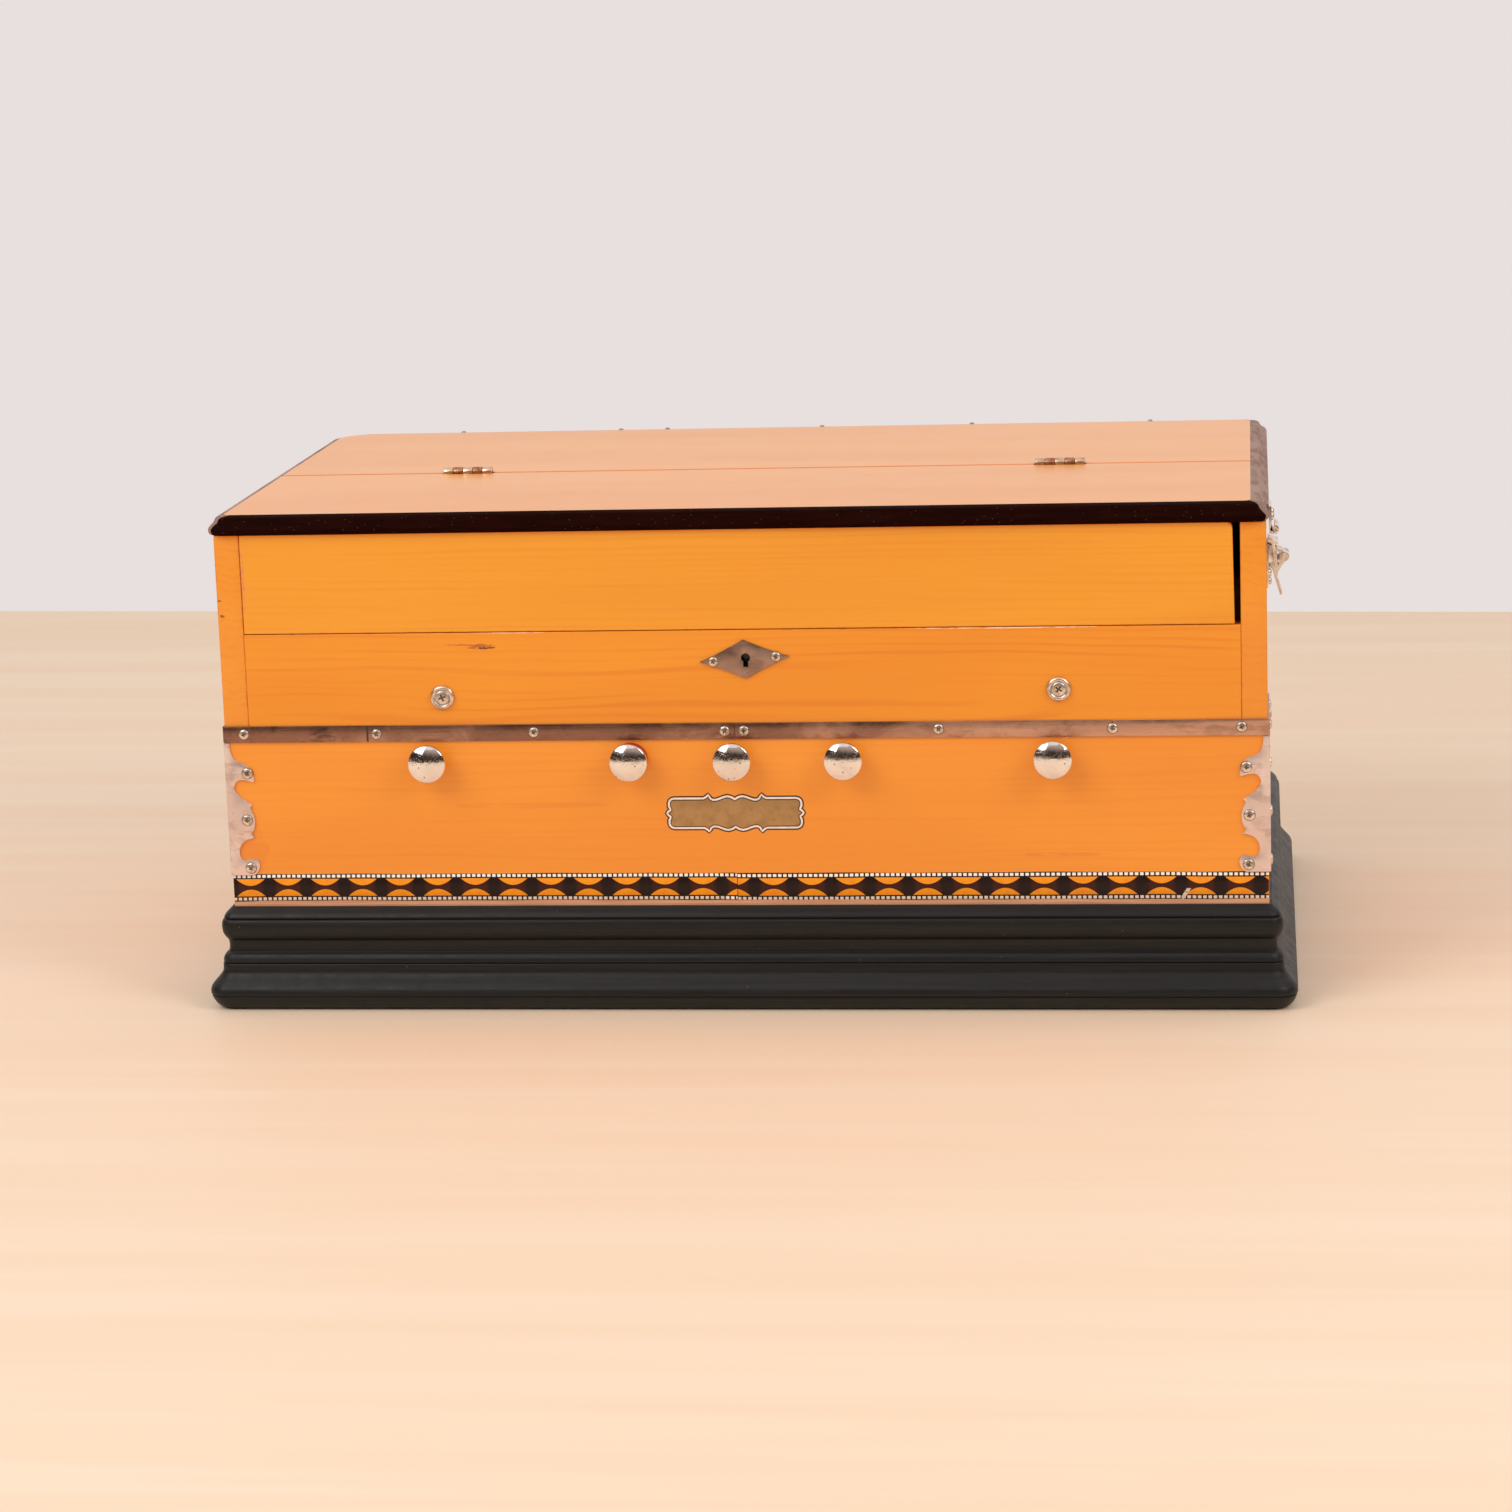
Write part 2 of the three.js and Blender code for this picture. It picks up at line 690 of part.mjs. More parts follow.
function makeSharpKey({ shaft }) {
  const x = inset(shaft);
  const front = headRear + keyboard.sharpGap;
  const taper = keyboard.sharpSideInset;
  const ring = ([x0, x1], [y0, y1], z) => [[x0, y0, z], [x1, y0, z], [x1, y1, z], [x0, y1, z]];
  const cap = loft([
    ring(x, [front, coverRear], keyUnderside + keyboard.tailHeight),
    ring(x, [front, coverRear], keyTop),
    ring([x[0] + taper, x[1] - taper], [front + keyboard.sharpFrontInset, coverRear], keyTop + keyboard.sharpHeight),
  ]);
  return join([keyLever(front, keyTop, x), cap, keyPallet(x)]);
}

// Deck, rails, raised pan, walls and floor drawn as one section, then slotted under every pallet
function makeReedChamber(places) {
  const deckUnder = deckTop - chamber.deckThickness;
  const floorUnder = chamberFloor - chamber.floorThickness;
  const railTop = keyUnderside - seatGap;
  const railHalf = chamber.railWidth / 2;
  const shoulder = railTop - chamber.railCrown;
  const deckFront = caseFront + frontThickness;
  const front = deckFront + chamber.frontSetback;
  const rear = backFront - chamber.rearSetback;
  const [panFront, panRear] = [panMiddle - chamber.panLength / 2, panMiddle + chamber.panLength / 2];
  const railFront = keyFront + chamber.frontRailSetback;
  const railRear = railFront + chamber.frontRailLength;
  const frontRailTop = keyUnderside - keyboard.dip;
  const section = shapeOf([
    [front, floorUnder],
    [rear, floorUnder],
    [rear, deckUnder],
    [backFront, deckUnder],
    [backFront, deckTop],
    [panRear, deckTop],
    [panRear, panTop],
    [panFront, panTop],
    [panFront, deckTop],
    [balanceY + railHalf, deckTop],
    [balanceY + railHalf, shoulder],
    [balanceY + railHalf / 4, railTop],
    [balanceY - railHalf / 4, railTop],
    [balanceY - railHalf, shoulder],
    [balanceY - railHalf, deckTop],
    [railRear, deckTop],
    [railRear, frontRailTop],
    [railFront, frontRailTop],
    [railFront, deckTop],
    [deckFront, deckTop],
    [deckFront, deckUnder],
    [front, deckUnder],
  ]);
  const hollow = new THREE.Path([
    new THREE.Vector2(front + chamber.wall, chamberFloor),
    new THREE.Vector2(rear - chamber.wall, chamberFloor),
    new THREE.Vector2(rear - chamber.wall, deckUnder),
    new THREE.Vector2(front + chamber.wall, deckUnder),
  ]);
  section.holes.push(hollow);
  const frame = sweepX(section, [-innerHalf, innerHalf]);

  const cheeks = [-1, 1].map((side) => {
    const top = keyTop + keyboard.coverHeight + cheek.rise;
    const foot = deckTop - chamber.deckThickness / 2;
    const profile = new THREE.Shape();
    profile.moveTo(keyFront, foot);
    profile.lineTo(hingeY, foot);
    profile.lineTo(hingeY, top);
    profile.lineTo(keyFront + cheek.noseRadius, top);
    profile.absarc(keyFront + cheek.noseRadius, top - cheek.noseRadius, cheek.noseRadius, Math.PI / 2, Math.PI);
    const inner = -keysLeft + keyboard.gap;
    return sweepX(profile, side > 0 ? [inner, innerHalf] : [-innerHalf, -inner]);
  });

  const middles = places.map(({ shaft }) => (shaft[0] + shaft[1]) / 2);
  const reeds = middles.map((x) => block(
    [x - chamber.reedWidth / 2, x + chamber.reedWidth / 2],
    [panMiddle - chamber.reedLength / 2, panMiddle + chamber.reedLength / 2],
    [deckUnder - chamber.reedThickness, deckUnder],
  ));
  const slots = middles.map((x) => block(
    [x - chamber.slotWidth / 2, x + chamber.slotWidth / 2],
    [panMiddle - chamber.slotLength / 2, panMiddle + chamber.slotLength / 2],
    [deckUnder - chamber.reedThickness - cutOverrun, panTop + cutOverrun],
  ));
  const windHoles = stopPlaces.map((x) => bar(
    'z', stop.windHoleRadius, chamber.floorThickness + cutOverrun,
    [x, caseFront + stop.slideFront + stop.slideLength / 2, (floorUnder + chamberFloor) / 2], pinFacets,
  ));
  const rodHoles = stopPlaces.map((x) => bar(
    'y', stop.rodRadius + seatGap, chamber.wall + cutOverrun,
    [x, front + chamber.wall / 2, stopHeight], fineFacets,
  ));
  return cut(join([frame, ...cheeks, ...reeds]), [...slots, ...windHoles, ...rodHoles]);
}

const boardFront = caseRear - bellows.boardThickness;
const boardHalf = innerHalf - bellows.sideGap;
const boardZ = [plinthHeight + bellows.footGap, caseTop - bellows.headGap];

function makeBellowsBoard() {
  const board = block([-boardHalf, boardHalf], [boardFront, caseRear], boardZ);
  const axisY = caseRear + bellows.hingeRadius;
  const axisZ = plinthHeight + bellows.hingeRadius + seatGap;
  const hinges = [-bellows.hingeSpread, 0, bellows.hingeSpread].flatMap((x) => [
    bar('x', bellows.hingeRadius, bellows.hingeLength, [x, axisY, axisZ], pinFacets),
    block(
      [x - bellows.hingeLength / 2, x + bellows.hingeLength / 2],
      [caseRear - bellows.leafThickness, caseRear + bellows.leafThickness],
      [axisZ, axisZ + bellows.leafHeight],
    ),
  ]);
  const airHoles = airHoleColumnShares.map((column) => bar(
    'y', bellows.airHoleRadius, bellows.boardThickness + cutOverrun,
    [column * bellows.airHolePitch, (boardFront + caseRear) / 2, plinthHeight + bellows.airHoleRise], fineFacets,
  ));
  return cut(join([board, ...hinges]), airHoles);
}

// Folded cloth: rings that alternate between crest and valley from the back panel to the board
function makeBellowsFolds() {
  const start = backRear + seatGap;
  const span = boardFront - seatGap - start;
  const rings = [];
  for (let i = 0; i <= 2 * bellows.folds; i += 1) {
    const inwards = bellows.foldInset + (i % 2) * bellows.foldDepth;
    const y = start + span * i / (2 * bellows.folds);
    const [low, high] = [boardZ[0] + inwards, boardZ[1] - inwards];
    const half = boardHalf - inwards;
    rings.push([[-half, y, high], [half, y, high], [half, y, low], [-half, y, low]]);
  }
  return loft(rings);
}

// Draw latch: places measured from the case side and along the latch's own middle
const latchMiddle = caseFront + latch.setback;
const pivotHeight = caseTop - latch.pivotDrop;
const latchPoint = ([out, up]) => [caseHalf + out * latch.pivotOut, pivotHeight + up * latch.pivotOut];
const latchPivot = [caseHalf + latch.pivotOut, pivotHeight];
const latchLink = latchPoint(linkPlaceShares);
const bailTop = pivotHeight + latch.bailRise;
const keeperBottom = bailTop + latch.bailDip + latch.bailStock + latch.keeperGap;
const plateTop = bailTop - latch.plateGap;
const lugInner = latch.leverWidth / 2 + latch.lugGap;
const lugOuter = lugInner + latch.lugThickness;
const bailInner = lugOuter + latch.linkClearance;
const bailOuter = bailInner + latch.linkWidth;

const acrossLatch = (near, far) => [latchMiddle + near, latchMiddle + far];

function makeLatchBase() {
  const plate = block(
    [caseHalf, caseHalf + latch.plateThickness],
    acrossLatch(-latch.plateWidth / 2, latch.plateWidth / 2),
    [pivotHeight - latch.plateFall, plateTop],
  );
  const [px, pz] = latchPivot;
  const lug = new THREE.Shape();
  lug.moveTo(caseHalf + latch.plateThickness / 2, pz - latch.earRadius);
  lug.lineTo(px, pz - latch.earRadius);
  lug.absarc(px, pz, latch.earRadius, -Math.PI / 2, Math.PI / 2);
  lug.lineTo(caseHalf + latch.plateThickness / 2, plateTop);
  const lugs = [acrossLatch(-lugOuter, -lugInner), acrossLatch(lugInner, lugOuter)].map((y) => sweepY(lug, y));
  const bore = bar('y', latch.pivotRadius + seatGap, latch.plateWidth, [px, latchMiddle, pz], pinFacets);
  return cut(join([plate, ...lugs]), [bore]);
}

function makeLatchLever() {
  const [px, pz] = latchPivot;
  const outline = shapeOf(leverOutlineShares.map(latchPoint));
  const body = sweepY(outline, acrossLatch(-latch.leverWidth / 2, latch.leverWidth / 2));
  const pin = bar('y', latch.pivotRadius, 2 * lugOuter + seatGap, [px, latchMiddle, pz], pinFacets);
  const eye = bar(
    'y', latch.linkRadius + seatGap, latch.leverWidth + cutOverrun,
    [latchLink[0], latchMiddle, latchLink[1]], pinFacets,
  );
  return cut(join([body, pin]), [eye]);
}

// Bail: two side links on a cross pin, joined by a sloping bar at the top
function makeLatchBail() {
  const [bx, bz] = latchLink;
  const tx = caseHalf + bailTopShare * latch.pivotOut;
  const tz = bailTop;
  const stock = latch.bailStock;
  const link = shapeOf([
    [bx - stock, bz - stock], [bx + stock, bz - stock], [tx + stock, tz], [tx - stock, tz],
  ]);
  const reach = bailReachShare * latch.pivotOut;
  const dip = latch.bailDip;
  const top = shapeOf([
    [tx - reach, tz + dip - stock], [tx + reach, tz - dip - stock],
    [tx + reach, tz - dip + stock], [tx - reach, tz + dip + stock],
  ]);
  const cross = bar('y', latch.linkRadius, bailInner + bailOuter, [bx, latchMiddle, bz], pinFacets);
  return join([
    sweepY(link, acrossLatch(bailInner, bailOuter)),
    sweepY(link, acrossLatch(-bailOuter, -bailInner)),
    sweepY(top, acrossLatch(-bailOuter, bailOuter)),
    cross,
  ]);
}

const harmonium = new THREE.Group();

function place(name, body, material) {
  const mesh = new THREE.Mesh(geometryOf(body), material);
  mesh.name = name;
  harmonium.add(mesh);
}

place('base_plinth', makePlinth(), blackLacquer);
place('side_panel_left', makeSidePanel(-1), varnish);
place('side_panel_right', makeSidePanel(1), varnish);
place('back_panel', makeBackPanel(), varnish);
place('stop_panel', makeStopPanel(), varnish);
place('keyslip', makeKeyslip(), varnish);
place('steel_strip', makeStrip(), sheetSteel);
place('corner_bracket_left', makeBracket(-1), sheetSteel);
place('corner_bracket_right', makeBracket(1), sheetSteel);

const wholeLid = makeWholeLid();
place('lid_rear', makeLidRear(wholeLid), varnish);
place('lid_front', makeLidFront(wholeLid), varnish);
place('lid_fascia', makeFascia(), varnish);

stopPlaces.forEach((x, i) => place(`stop_${i + 1}`, makeStop(x), chrome));

const keys = keyPlaces();
place('reed_chamber', makeReedChamber(keys), paleWood);
for (const key of keys) {
  if (key.head) {
    place(key.name, makeNaturalKey(key), ivoryWhite);
  } else {
    place(key.name, makeSharpKey(key), ebonyBlack);
  }
}

place('bellows_board', makeBellowsBoard(), varnish);
place('bellows_folds', makeBellowsFolds(), bellowsCloth);
place('latch_base', makeLatchBase(), chrome);
place('latch_lever', makeLatchLever(), chrome);
place('latch_bail', makeLatchBail(), chrome);

export default harmonium;
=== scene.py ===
# Indian harmonium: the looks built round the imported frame.
# Shapes are drawn in millimetres in the row frame and scaled to metres as each mesh is made.
import math
import bmesh
import bpy
from mathutils import Matrix, Vector


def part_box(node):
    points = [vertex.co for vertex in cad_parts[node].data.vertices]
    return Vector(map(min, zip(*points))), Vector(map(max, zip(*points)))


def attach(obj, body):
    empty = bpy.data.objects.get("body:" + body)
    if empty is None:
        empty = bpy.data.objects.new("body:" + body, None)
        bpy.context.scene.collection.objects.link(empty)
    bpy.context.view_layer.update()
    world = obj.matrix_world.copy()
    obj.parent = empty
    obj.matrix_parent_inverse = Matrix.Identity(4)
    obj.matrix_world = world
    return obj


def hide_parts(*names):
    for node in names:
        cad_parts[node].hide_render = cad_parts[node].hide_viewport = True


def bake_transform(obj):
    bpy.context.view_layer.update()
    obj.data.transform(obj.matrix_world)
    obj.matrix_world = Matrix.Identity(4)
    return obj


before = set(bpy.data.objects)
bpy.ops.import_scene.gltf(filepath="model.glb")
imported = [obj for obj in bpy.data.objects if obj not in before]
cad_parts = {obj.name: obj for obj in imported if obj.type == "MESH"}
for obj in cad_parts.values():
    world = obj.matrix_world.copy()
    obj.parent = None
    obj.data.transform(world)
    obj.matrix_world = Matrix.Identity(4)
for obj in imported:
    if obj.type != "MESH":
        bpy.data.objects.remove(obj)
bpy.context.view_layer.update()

MM = 0.001
TURN = 2 * math.pi


def span(node):
    low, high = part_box(node)
    return [(low[i] / MM, high[i] / MM) for i in range(3)]


# Places taken from the frame
(_, HALF), (FRONT, FRONT_REAR), (FOOT, SEAM) = span("stop_panel")
(INNER, _), (_, REAR), (_, CASE_TOP) = span("side_panel_right")
KEYSLIP_TOP = span("keyslip")[2][1]
(FASCIA_LEFT, FASCIA_RIGHT), _, (FASCIA_FOOT, _) = span("lid_fascia")
PLINTH_X, PLINTH_Y, _ = span("base_plinth")
STRIP_BOTTOM, STRIP_TOP = span("steel_strip")[2]
STOP_PLACES = [sum(span(f"stop_{i}")[0]) / 2 for i in range(1, 6)]
STOP_HEIGHT = 145

# The lid and its hinges
LID_THICKNESS = 10.5
LID_TOP = CASE_TOP + LID_THICKNESS
HINGE_Y = FRONT + 159
HINGE_Z = LID_TOP + 0.6
HINGE_PLACES = (-179, 177)
# The moulded edge's reach beyond the case, smaller at the right, and its start inside it, smaller at the left
LIP, RIGHT_LIP = 3.7, 1.7
SETBACK, LEFT_SETBACK = 8.6, 4.0

# The patterned tape
TAPE_FOOT, TAPE_TOP = 62.3, 78.1
TAPE_SEAM = -3.4

# The strip, the brackets and the escutcheon, and how far the heads on them stand out from the board
SHEET_THICKNESS = 1.15
ON_SHEET = 1.1


# Materials

def tint(red, green, blue):
    """An sRGB colour from 0 to 255 as a linear one."""
    def linear(c):
        c /= 255
        return c / 12.92 if c <= 0.04045 else ((c + 0.055) / 1.055) ** 2.4
    return (linear(red), linear(green), linear(blue), 1)


class Value:
    """A node's output. Arithmetic on it makes math nodes."""

    def __init__(self, tree, socket):
        self.tree = tree
        self.socket = socket

    def math(self, operation, other=0.0):
        return make_node(self.tree, "ShaderNodeMath", {0: self, 1: other}, operation=operation)

    def __add__(self, other):
        return self.math("ADD", other)

    def __sub__(self, other):
        return self.math("SUBTRACT", other)

    def __rsub__(self, other):
        return make_node(self.tree, "ShaderNodeMath", {0: other, 1: self}, operation="SUBTRACT")

    def __mul__(self, other):
        return self.math("MULTIPLY", other)

    def __truediv__(self, other):
        return self.math("DIVIDE", other)

    def __abs__(self):
        return self.math("ABSOLUTE")


def join(tree, value, socket):
    """Links a node's output to a socket, or sets the socket to a constant."""
    if isinstance(value, Value):
        tree.links.new(value.socket, socket)
    else:
        socket.default_value = value


def make_node(tree, kind, inputs=(), output=0, **settings):
    made = tree.nodes.new(kind)
    for key, value in settings.items():
        setattr(made, key, value)
    for key, value in dict(inputs).items():
        join(tree, value, made.inputs[key])
    return Value(tree, made.outputs[output])


class Finish:
    """A principled material with short names for the nodes that it needs."""

    def __init__(self, name, **constants):
        self.material = bpy.data.materials.new(name)
        self.material.use_nodes = True
        self.tree = self.material.node_tree
        self.place = self.node("ShaderNodeTexCoord", output="Object")
        for key, value in constants.items():
            self.set(key.replace("_", " ").title().replace("Ior", "IOR"), value)

    def set(self, socket, value):
        join(self.tree, value, self.tree.nodes["Principled BSDF"].inputs[socket])

    def node(self, kind, inputs=(), output=0, **settings):
        return make_node(self.tree, kind, inputs, output, **settings)

    def axes(self):
        split = self.tree.nodes.new("ShaderNodeSeparateXYZ")
        join(self.tree, self.place, split.inputs[0])
        return [Value(self.tree, output) for output in split.outputs]

    def stretched(self, size, shift=(0, 0, 0)):
        """Object coordinates over a size in millimetres, alike on all axes or one for each."""
        sizes = size if isinstance(size, tuple) else (size,) * 3
        inputs = {0: self.place, 1: [1 / (s * MM) for s in sizes], 2: shift}
        return self.node("ShaderNodeVectorMath", inputs, operation="MULTIPLY_ADD")

    def noise(self, size, detail=3.0, roughness=0.5, distortion=0.0, shift=(0, 0, 0)):
        inputs = {"Vector": self.stretched(size, shift), "Scale": 1.0, "Detail": detail,
                  "Roughness": roughness, "Distortion": distortion}
        return self.node("ShaderNodeTexNoise", inputs)

    def cells(self, size, shift=(0, 0, 0)):
        return self.node("ShaderNodeTexVoronoi", {"Vector": self.stretched(size, shift), "Scale": 1.0})

    def range(self, value, low, high, to_low=0.0, to_high=1.0):
        inputs = {0: value, 1: low, 2: high, 3: to_low, 4: to_high}
        return self.node("ShaderNodeMapRange", inputs, interpolation_type="SMOOTHSTEP")

    def mix(self, share, a, b):
        """Colour a, or b where the share is 1. Each is an sRGB colour or a node's output."""
        a, b = (c if isinstance(c, Value) else tint(*c) for c in (a, b))
        return self.node("ShaderNodeMix", {0: share, 6: a, 7: b}, 2, data_type="RGBA")

    def between(self, value, low, high, a, b):
        """Colour a below a span of values and b above it."""
        return self.mix(self.range(value, low, high), a, b)

    def worn(self, colour, cloud, low, high, share, mark):
        """The colour with patches of another on the eased edges."""
        edge = self.node("ShaderNodeAttribute", output="Fac", attribute_name="wear")
        return self.mix(edge * self.range(cloud, low, high) * share, colour, mark)

    def spot(self, centre, radii):
        """1 at the centre of an ellipsoid, 0 at its edge and less beyond."""
        scaled = self.stretched(radii, [-c / r for c, r in zip(centre, radii)])
        return 1 - self.node("ShaderNodeVectorMath", {0: scaled}, "Value", operation="LENGTH")

    def done(self, colour, rough, *layers):
        """Sets the colour, roughness and relief. A layer is a height, a strength and a distance in mm."""
        self.set("Base Color", colour)
        self.set("Roughness", rough)
        below = {}
        for height, strength, distance in layers:
            inputs = {"Strength": strength, "Distance": distance * MM, "Height": height, **below}
            below = {"Normal": self.node("ShaderNodeBump", inputs)}
        self.set("Normal", below["Normal"])
        return self.material


def grain(along, long, short):
    """Sizes for a texture that runs along one axis."""
    return tuple(long if axis == along else short for axis in "xyz")


def varnished_wood(name, along, seed, ground, pitch, wave, figure, marks=(), foot=None, gloss=(0.28, 0.42),
                   ripple=0.07):
    """Varnished softwood: fine uneven lines across a nearly even ground, and bare below its foot."""
    f = Finish(name, coat_weight=0.3, coat_roughness=0.18)
    shift = (seed, seed * 1.7, seed * 2.3)

    def streak(long, short, detail=2, roughness=0.5, distortion=0.0):
        return f.noise(grain(along, long, short), detail, roughness, distortion, shift)

    _, y, z = f.axes()
    across = (z + y if along == "x" else z) * (1 / MM)
    warp = streak(260, 44, distortion=0.2) * (wave * 12) + streak(700, 15, 1) * (pitch * 2.4)
    year = (across + warp) / pitch + seed
    line = f.range((year * TURN).math("SINE"), 0.1, 1.0)
    strength = f.range(streak(230, 8), 0.36, 0.68, 0.1, 1.0)
    fibre = streak(46, 0.7, 3, 0.6)
    dark = [c * s for c, s in zip(ground, (0.965, 0.84, 0.68))]
    light = [min(255, c * s) for c, s in zip(ground, (1.025, 1.06, 1.16))]
    colour = f.between(streak(420, 60, distortion=0.3), 0.32, 0.68, ground, light)
    colour = f.mix(line * strength * figure, colour, dark)
    colour = f.mix(f.range(fibre, 0.5, 0.75, 0.0, 0.2), colour, dark)
    for centre, radii, mark, share, grit in marks:
        speckle = f.noise((grit * 5, grit, grit), 5, 0.7, 0.4, shift)
        shown = f.range(f.range(f.spot(centre, radii), 0.0, 0.6) * speckle, 0.4, 0.54, 0.0, share)
        colour = f.mix(shown, colour, mark)
    colour = f.worn(colour, f.noise(7, 5, 0.7, 0.3, shift), 0.5, 0.62, 0.6, (206, 116, 62))
    if foot is not None:
        bare = f.range(z, (foot + 0.2) * MM, (foot - 0.2) * MM)
        colour = f.mix(bare, colour, f.between(fibre, 0.35, 0.7, (214, 158, 122), (190, 128, 92)))
    rough = f.range(f.noise(30, 3, 0.6), 0.3, 0.7, *gloss)
    return f.done(colour, rough, (fibre, 0.12, 0.1), (f.noise(18, 2), ripple, 0.3))


def black_lacquer(name, quirks):
    """Brushed black with a few pale specks, and painted shade that darkens the quirks of the moulding."""
    f = Finish(name, specular_ior_level=0.32)
    z = f.axes()[2]
    brush = f.noise((80, 80, 1.6), 4, 0.6, 0.2)
    colour = f.between(brush, 0.35, 0.7, (21, 20, 20), (30, 29, 28))
    colour = f.mix(f.range(f.cells(11), 0.045, 0.02, 0.0, 0.4), colour, (124, 114, 104))
    # Painted shade: each quirk is darkened nearly to black, as the shade that falls into it
    for height in quirks:
        quirk_shade = f.range(abs(z - height * MM), 0.9 * MM, 0.3 * MM, 0.0, 0.85)
        colour = f.mix(quirk_shade, colour, (5, 5, 5))
    rough = f.range(f.noise(9, 6, 0.72), 0.3, 0.75, 0.4, 0.56)
    return f.done(colour, rough, (brush, 0.14, 0.2), (f.noise(6), 0.08, 0.2))


def moulding_stain(name, dark, rubbed, share, shine, painted_sheen_past_mitre=None):
    """The lid's stained edge, rubbed through in places, and past the corner's mitre the paler colour that
    paints the side edge's reflection.
    """
    f = Finish(name, specular_ior_level=shine)
    streak = f.noise((26, 26, 2.2), 5, 0.65, 0.4)
    patch = f.noise((60, 60, 14), 3, 0.6, 0.5)
    colour = f.between(streak, 0.35, 0.7, dark, [c * 1.25 + 3 for c in dark])
    colour = f.mix(f.range(streak + patch, 0.82, 1.16) * share, colour, rubbed)
    colour = f.mix(f.range(f.cells(3.4), 0.13, 0.06, 0.0, 0.24), colour, (150, 100, 84))
    # Painted reflection: past the mitre the front edge takes the side edge's paler grey-brown
    if painted_sheen_past_mitre is not None:
        x, y, _ = f.axes()
        out = abs(x) - (HALF - SETBACK) * MM
        back = y - (FRONT + SETBACK) * MM
        past = out * 1.1 + back + (streak - 0.5) * (3 * MM)
        colour = f.mix(f.range(past, 0.0, 0.8 * MM), colour, painted_sheen_past_mitre)
    return f.done(colour, f.range(streak, 0.3, 0.7, 0.58, 0.8), (streak, 0.2, 0.2))


def sheet_steel(name, pale, middle, dark, blotch, gloss=(0.3, 0.5), paler_right=False):
    """Thin bright sheet, tarnished brown in clouds. It may grow paler and cleaner to the right."""
    f = Finish(name, metallic=0.82)
    cloud = f.noise((30, 30, 16), 5, 0.62, 0.6)
    stain = f.noise((15, 15, 8), 5, 0.62, 0.7, (3.1, 0, 1.7))
    scratch = f.noise((46, 46, 0.7), 3, 0.6)
    tone = f.noise((120, 120, 40), 2, 0.5, 0.4) * 0.6 + cloud * 0.4
    if paler_right:
        x = f.axes()[0]
        tone = tone + f.range(x, 0.0, 240 * MM, -0.1, 0.14)
        blotch = f.range(x, -240 * MM, -180 * MM, blotch, blotch * 0.35)
    colour = f.between(tone, 0.38, 0.6, middle, pale)
    colour = f.mix(f.range(stain, 0.48, 0.66) * blotch, colour, dark)
    colour = f.worn(colour, stain, 0.42, 0.58, 0.8, (104, 66, 46))
    rough = f.range(cloud * 0.5 + scratch * 0.5, 0.35, 0.65, *gloss)
    return f.done(colour, rough, (scratch, 0.08, 0.08), (cloud, 0.16, 0.6))


def knob_plating(name):
    """Bright plating with fine pits and a few dull smears, scuffed in a band near the knob's middle."""
    f = Finish(name, metallic=1.0)
    bright = (246, 240, 236)
    smear = f.noise(11, 4, 0.6, 0.7)
    grit = f.range(f.cells(1.554, (2.0, 5.0, 1.0)), 0.12, 0.05, 0.0, 0.6)
    spots = f.range(f.cells(4.2), 0.16, 0.07).math("MAXIMUM", grit)
    colour = f.mix(f.range(smear, 0.4, 0.7, 0.0, 0.35), bright, [c * 0.85 for c in bright])
    colour = f.mix(spots * 0.75, colour, (104, 88, 76))
    rough = f.range(smear, 0.35, 0.75, 0.06, 0.2) + spots * 0.3
    band = f.range(abs(f.axes()[2] - (STOP_HEIGHT + 2.5) * MM), 4.6 * MM, 1.5 * MM)
    scuff = f.range(f.noise((1.3, 1.3, 1.0), 4, 0.7, 0.5), 0.48, 0.66)
    return f.done(colour, rough, (spots, -0.35, 0.12), (scuff * band, 0.22, 0.12))


def metal(name, colour, dull, rough, size):
    f = Finish(name, metallic=1.0)
    cloud = f.noise(size, 5, 0.65, 0.5)
    colour = f.between(cloud, 0.4, 0.68, colour, dull)
    return f.done(colour, f.range(cloud, 0.3, 0.7, *rough), (f.noise(0.8, 2), 0.08, 0.05))


def bare_wood(name, along, light=(226, 190, 142), dark=(192, 148, 100)):
    f = Finish(name)
    fibre = f.noise(grain(along, 40, 1.1), 4, 0.6)
    warp = f.noise(grain(along, 180, 14), 3, 0.5, 1.0)
    bands = f.range((warp * 52.0).math("SINE"), 0.2, 1.0)
    colour = f.mix(bands * 0.3, f.between(fibre, 0.3, 0.7, light, dark), [c * 0.86 for c in dark])
    return f.done(colour, f.range(fibre, 0.3, 0.7, 0.62, 0.82), (fibre, 0.3, 0.15))


def key_cover(name):
    f = Finish(name, coat_weight=0.4, coat_roughness=0.1, subsurface_weight=0.05)
    colour = f.between(f.noise((70, 45, 30)), 0.35, 0.7, (244, 239, 226), (233, 220, 190))
    figure = f.range(f.noise((9, 70, 9), 3, 0.5, 0.6), 0.55, 0.75, 0.0, 0.25)
    rough = f.range(f.noise((12, 24, 12), 4, 0.6), 0.3, 0.7, 0.16, 0.34)
    return f.done(f.mix(figure, colour, (222, 206, 172)), rough, (f.noise((0.9, 14, 0.9), 2), 0.05, 0.05))


def key_cap(name):
    f = Finish(name, coat_weight=0.5, coat_roughness=0.12)
    wipe = f.noise((5, 30, 5), 4, 0.6, 0.4)
    colour = f.between(wipe, 0.35, 0.7, (24, 22, 22), (38, 35, 34))
    colour = f.worn(colour, wipe, 0.45, 0.6, 0.6, (86, 72, 60))
    return f.done(colour, f.range(wipe, 0.3, 0.7, 0.2, 0.42), (wipe, 0.08, 0.1))


